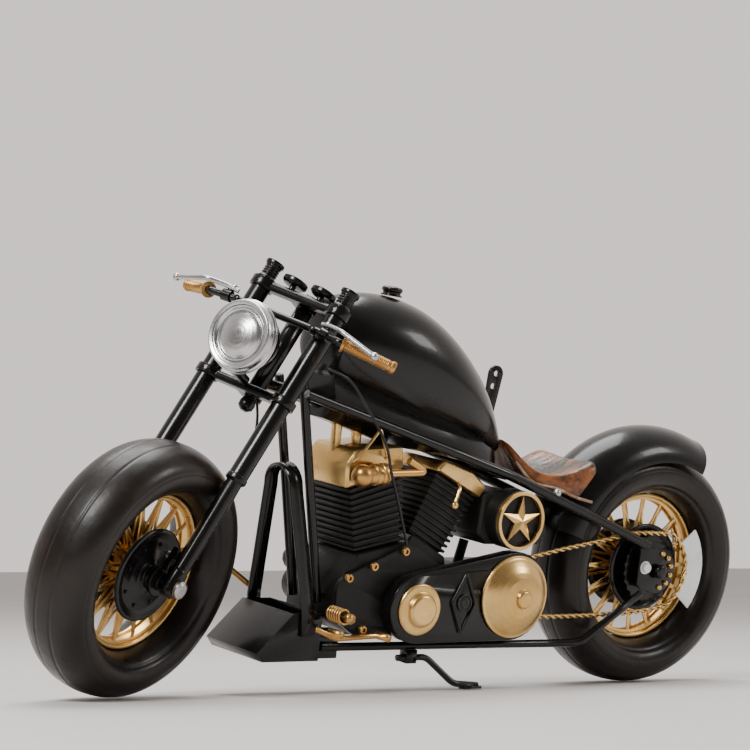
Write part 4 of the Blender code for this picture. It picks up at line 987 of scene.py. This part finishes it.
def seat_trim():
    """Piping round the seat's lower edge, and the ball at its near side."""
    bm = bmesh.new()
    for sign in (-1, 1):
        edge = [(x, sign * 0.95 * half, low + 1.2) for x, _, low, half, _, _ in SEAT_ROWS[1:-1]]
        sweep(bm, smooth_path(edge, 8), 0.75, 14)
    look = Look("piping").set(Roughness=0.4)
    look.colour(look.ramp(look.noise(260, 4), (0.35, (0.20, 0.10, 0.05)), (0.65, (0.50, 0.38, 0.26))))
    piece("seat_piping", finish_mesh(bm, "seat_piping", 0.0001, 50), MACHINE, "frame", "seat_leather",
          look=look.material)
    bm = bmesh.new()
    ball(bm, (228.0, -22.6, 98.6), 2.1, 32, 20)
    piece("seat_ball", finish_mesh(bm, "seat_ball"), MACHINE, "frame", "silver_metal")


def rear_fender():
    """Deep round guard of folded sheet with a flared lip at its tail."""
    bm = bmesh.new()
    along, around, half_sheet = 72, 28, 0.65
    start, sweep_angle = 64.0, 99.0
    ring_r, crown_height, half_width = 54.5, 15.5, 18.8
    grids = []
    for offset in (half_sheet, -half_sheet):
        grid = []
        for i in range(along + 1):
            angle = math.radians(start + sweep_angle * i / along)
            share = i / along
            flare = 0.7 * max(0.0, 1.0 - share / 0.05) ** 2
            row = []
            for j in range(around + 1):
                a = math.radians(-90 + 180 * j / around)
                r = ring_r + (crown_height + offset + flare) * math.cos(a)
                y = (half_width + offset) * math.sin(a)
                row.append(bm.verts.new((r * math.cos(angle), -y, r * math.sin(angle))))
            grid.append(row)
        grids.append(grid)
    outer, inner = grids
    for grid in grids:
        for i in range(along):
            for j in range(around):
                bm.faces.new((grid[i][j], grid[i + 1][j], grid[i + 1][j + 1], grid[i][j + 1]))
    for i in range(along):
        for j in (0, around):
            bm.faces.new((outer[i][j], outer[i + 1][j], inner[i + 1][j], inner[i][j]))
    for j in range(around):
        for i in (0, along):
            bm.faces.new((outer[i][j], outer[i][j + 1], inner[i][j + 1], inner[i][j]))
    mesh = finish_mesh(bm, "rear_fender", 0.0001, 50)
    piece("rear_fender_looks", mesh, REAR_WHEEL, "frame", "black_enamel", ("rear_fender",))


tank()
tank_tunnel()
filler_cap()
seat()
seat_trim()
rear_fender()


# ---- engine details ----
def covers():
    """The two gold caps on the primary cover: a small stepped one and a large dome."""
    face = COVER_FACE + GAP
    derby = [(0, face + 4.6), (3.0, face + 4.7), (6.4, face + 4.6), (7.2, face + 4.1), (7.8, face + 3.4),
             (8.0, face + 1.9), (8.6, face + 1.5), (11.2, face + 1.3), (12.0, face + 1.0), (12.3, face + 0.4),
             (12.3, face), (0, face)]
    turned("derby_cap_looks", derby, MACHINE, "frame", "gold_finish", "Y", 96, (144.8, 0, 43.6),
           replaces=("derby_cap",))
    dome = [(0, face + 9.4), (2.2, face + 9.5), (3.6, face + 9.3), (4.3, face + 8.7), (4.6, face + 7.3),
            (6.0, face + 7.1), (9.5, face + 6.5), (12.6, face + 5.4), (15.2, face + 4.0), (17.2, face + 2.6),
            (18.4, face + 1.6), (19.0, face + 1.3), (19.8, face + 1.2), (20.0, face + 0.6), (20.0, face),
            (0, face)]
    turned("clutch_dome_looks", dome, MACHINE, "frame", "gold_finish", "Y", 128, (202.0, 0, 49.2),
           replaces=("clutch_dome",))


def cover_emblem():
    """Raised lozenge outline round a plain target of two rings."""
    x, z = CREST_AT
    bm = bmesh.new()
    corners = [(0, 14.2), (6.9, 0), (0, -14.2), (-6.9, 0)]
    closed = corners + corners[:2]
    path = rounded([(x + a, -COVER_FACE - 1.1, z + b) for a, b in closed], 1.2)[1:]
    sweep(bm, path, 0.8, 14)
    for radius in (3.9, 1.7):
        ring = [(radius + 0.5, COVER_FACE + 0.6), (radius + 0.5, COVER_FACE + 2.1),
                (radius - 0.5, COVER_FACE + 2.1), (radius - 0.5, COVER_FACE + 0.6)]
        revolve(bm, softened(ring + ring[:1], 0.3), 48, "Y", (x, 0, z))
    piece("cover_emblem", finish_mesh(bm, "cover_emblem", 0.0001), MACHINE, "frame", "black_enamel")


def intake():
    """Ball-ended bronze intake with a double collar and a hooked pipe behind it."""
    y = -23.4
    bm = bmesh.new()
    ball(bm, (107.4, y, 105.3), 5.3, 40, 24)
    collar = bmesh.new()
    profile = [(0, -3.4), (4.4, -3.4), (4.4, 1.2), (5.2, 1.4), (5.2, 4.2), (4.7, 4.6), (4.7, 5.4),
               (5.2, 5.8), (5.2, 8.6), (4.0, 9.4), (0, 9.6)]
    revolve(collar, softened(profile, 0.35), 48)
    join(bm, collar, pointed_at((10.5, 0, 1.0), (112.0, y, 105.7)))
    sweep(bm, rounded([(119.0, y, 106.4), (144.6, y, 107.4), (134.6, y + 1.0, 112.6)], 4.0), 1.9, 28)
    mesh = finish_mesh(bm, "intake", 0.0001)
    piece("intake_looks", mesh, MACHINE, "frame", "bronze_finish", ("intake",))


CHAIN_Y = -18.9
CHAIN_WRAP_R = 19.4
CHAIN_STEP = 0.55
TWIST_PITCH = 9.0
STRAND_OFFSET = 0.72
STRAND_R = 0.62


def evenly(path, step):
    """Points at equal steps along a path."""
    even = [path[0]]
    gone = 0.0
    for a, b in zip(path, path[1:]):
        span = (b - a).length
        while gone + span >= step:
            a = a.lerp(b, (step - gone) / span)
            even.append(a)
            span = (b - a).length
            gone = 0.0
        gone += span
    return even


def twisted_chain():
    """Two gold wires twisted together along the chain's run."""
    top = [(216.4, 66.0), (240.0, 70.4), (270.0, 75.6), (286.0, 78.2)]
    wrap = []
    for i in range(9):
        a = math.radians(70 - 140 * i / 8)
        wrap.append((WHEELBASE + CHAIN_WRAP_R * math.cos(a), TYRE_R + CHAIN_WRAP_R * math.sin(a)))
    low = [(290.0, 38.6), (268.0, 37.4), (240.0, 37.0), (218.6, 37.2)]
    even = evenly(smooth_path([(x, CHAIN_Y, z) for x, z in top + wrap + low], 24), CHAIN_STEP)
    bm = bmesh.new()
    frames = path_frames(even)
    for phase in (0.0, math.pi):
        strand = []
        for i, (point, (_, side, up)) in enumerate(zip(even, frames)):
            a = phase + 2 * math.pi * i * CHAIN_STEP / TWIST_PITCH
            strand.append(point + (side * math.cos(a) + up * math.sin(a)) * STRAND_OFFSET)
        sweep(bm, strand, STRAND_R, 10)
    mesh = finish_mesh(bm, "drive_chain", 0.0001, 50)
    piece("drive_chain_looks", mesh, MACHINE, "frame", "gold_finish", ("drive_chain",))


def peg_spring():
    """Coil spring of brass wire on the left peg's bolt."""
    turns, per_turn = 6, 24
    steps = turns * per_turn
    coil = []
    for i in range(steps + 1):
        a = 2 * math.pi * i / per_turn
        coil.append((98.4 + 3.2 * math.cos(a), -23.2 - 10.6 * i / steps, 41.4 + 3.2 * math.sin(a)))
    bar("peg_spring_looks", coil, 0.62, MACHINE, "frame", "bronze_finish", ("peg_spring",), 12)


def engine_screws():
    """Brass eyelets on the crankcase cover."""
    bm = bmesh.new()
    eyelet = [(1.0, 24.6), (1.9, 24.6), (2.1, 23.4), (2.1, 22.9), (1.0, 22.9), (1.0, 24.6)]
    for x, z in ((106.0, 57.6), (120.0, 63.0), (137.6, 70.0), (117.2, 33.2)):
        revolve(bm, softened(eyelet, 0.2), 24, "Y", (x, 0, z))
        bolt(bm, (x, -23.3, z), (0, -1, 0), 0.9, 0.6, 20)
    piece("cover_eyelets", finish_mesh(bm, "cover_eyelets", 0.0001), MACHINE, "frame", "bronze_finish")


def star():
    """Five-pointed gold star with ridged arms inside a thin hoop."""
    node = nodes["star_badge"]
    to_machine = MACHINE.inverted() @ node.matrix_world
    depths = [(to_machine @ vertex.co).y / UNIT for vertex in node.data.vertices]
    face, back = min(depths) - 0.6, max(depths)
    bm = bmesh.new()
    ring = []
    for i in range(10):
        a = math.radians(90 + 36 * i)
        radius = STAR_R if i % 2 == 0 else STAR_INNER_R
        ring.append((STAR_AT[0] + radius * math.cos(a), STAR_AT[1] + radius * math.sin(a)))
    low = [bm.verts.new((x, back, z)) for x, z in ring]
    edge = [bm.verts.new((x, face + 0.6, z)) for x, z in ring]
    peak = bm.verts.new((STAR_AT[0], face - 0.9, STAR_AT[1]))
    for i in range(10):
        j = (i + 1) % 10
        bm.faces.new((low[i], low[j], edge[j], edge[i]))
        bm.faces.new((edge[i], edge[j], peak))
    bm.faces.new(low)
    hoop = [(14.2, -back), (14.2, -face), (13.9, 0.3 - face), (12.7, 0.3 - face), (12.4, -face),
            (12.4, -back)]
    revolve(bm, softened(hoop + hoop[:1], 0.2), 96, "Y", (STAR_AT[0], 0, STAR_AT[1]))
    piece("star_badge_looks", finish_mesh(bm, "star_badge_looks", sharp=12), MACHINE, "frame", "gold_finish",
          ("star_badge",))


def axle_plate_details():
    """Gold dots and a pale bolt on the left axle plate, and the rear axle's black nuts."""
    x, z = WHEELBASE, TYRE_R
    dots = bmesh.new()
    for i in range(6):
        a = math.radians(-75 + 30 * i)
        ball(dots, (x + 8.8 * math.cos(a), -19.9, z + 8.8 * math.sin(a)), 1.4, 20, 12)
    piece("axle_plate_dots", finish_mesh(dots, "axle_plate_dots", 0.0001), MACHINE, "frame", "gold_finish")
    bolts("axle_plate_bolt", [(x - 8.6, -19.6, z + 1.6)], (0, -1, 0), MACHINE, "frame", "pale_metal",
          2.4, 2.2, 24)
    nut = [(0, 24.2), (2.4, 24.0), (3.2, 23.2), (3.6, 22.0), (3.6, 19.94), (2.0, 19.94), (2.0, 0)]
    profile = nut + [(r, -h) for r, h in reversed(nut)]
    turned("rear_axle_looks", profile, MACHINE, "frame", "silver_metal", "Y", 48, (x, 0, z),
           replaces=("rear_axle",), look=LOOKS["black_enamel"])


covers()
cover_emblem()
intake()
twisted_chain()
peg_spring()
engine_screws()
star()
axle_plate_details()


def clutch_cable():
    """Cable from the left end of the bars to the crankcase."""
    points = [(75.6, -29.0, 155.0), (88.0, -31.0, 150.0), (98.4, -31.0, 139.6), (112.6, -31.0, 121.8),
              (118.4, -30.6, 108.0), (127.6, -27.6, 91.6), (137.6, -24.0, 73.0)]
    path = smooth_path(points, 12)
    bm = bmesh.new()
    sweep(bm, path, 0.7, 14)
    mesh = finish_mesh(bm, "clutch_cable_looks", 0.0001, 50)
    obj = bpy.data.objects.new("clutch_cable_looks", mesh)
    bpy.context.scene.collection.objects.link(obj)
    obj.matrix_world = MACHINE
    mesh.materials.append(LOOKS["black_enamel"])
    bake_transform(obj)
    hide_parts("clutch_cable")


clutch_cable()
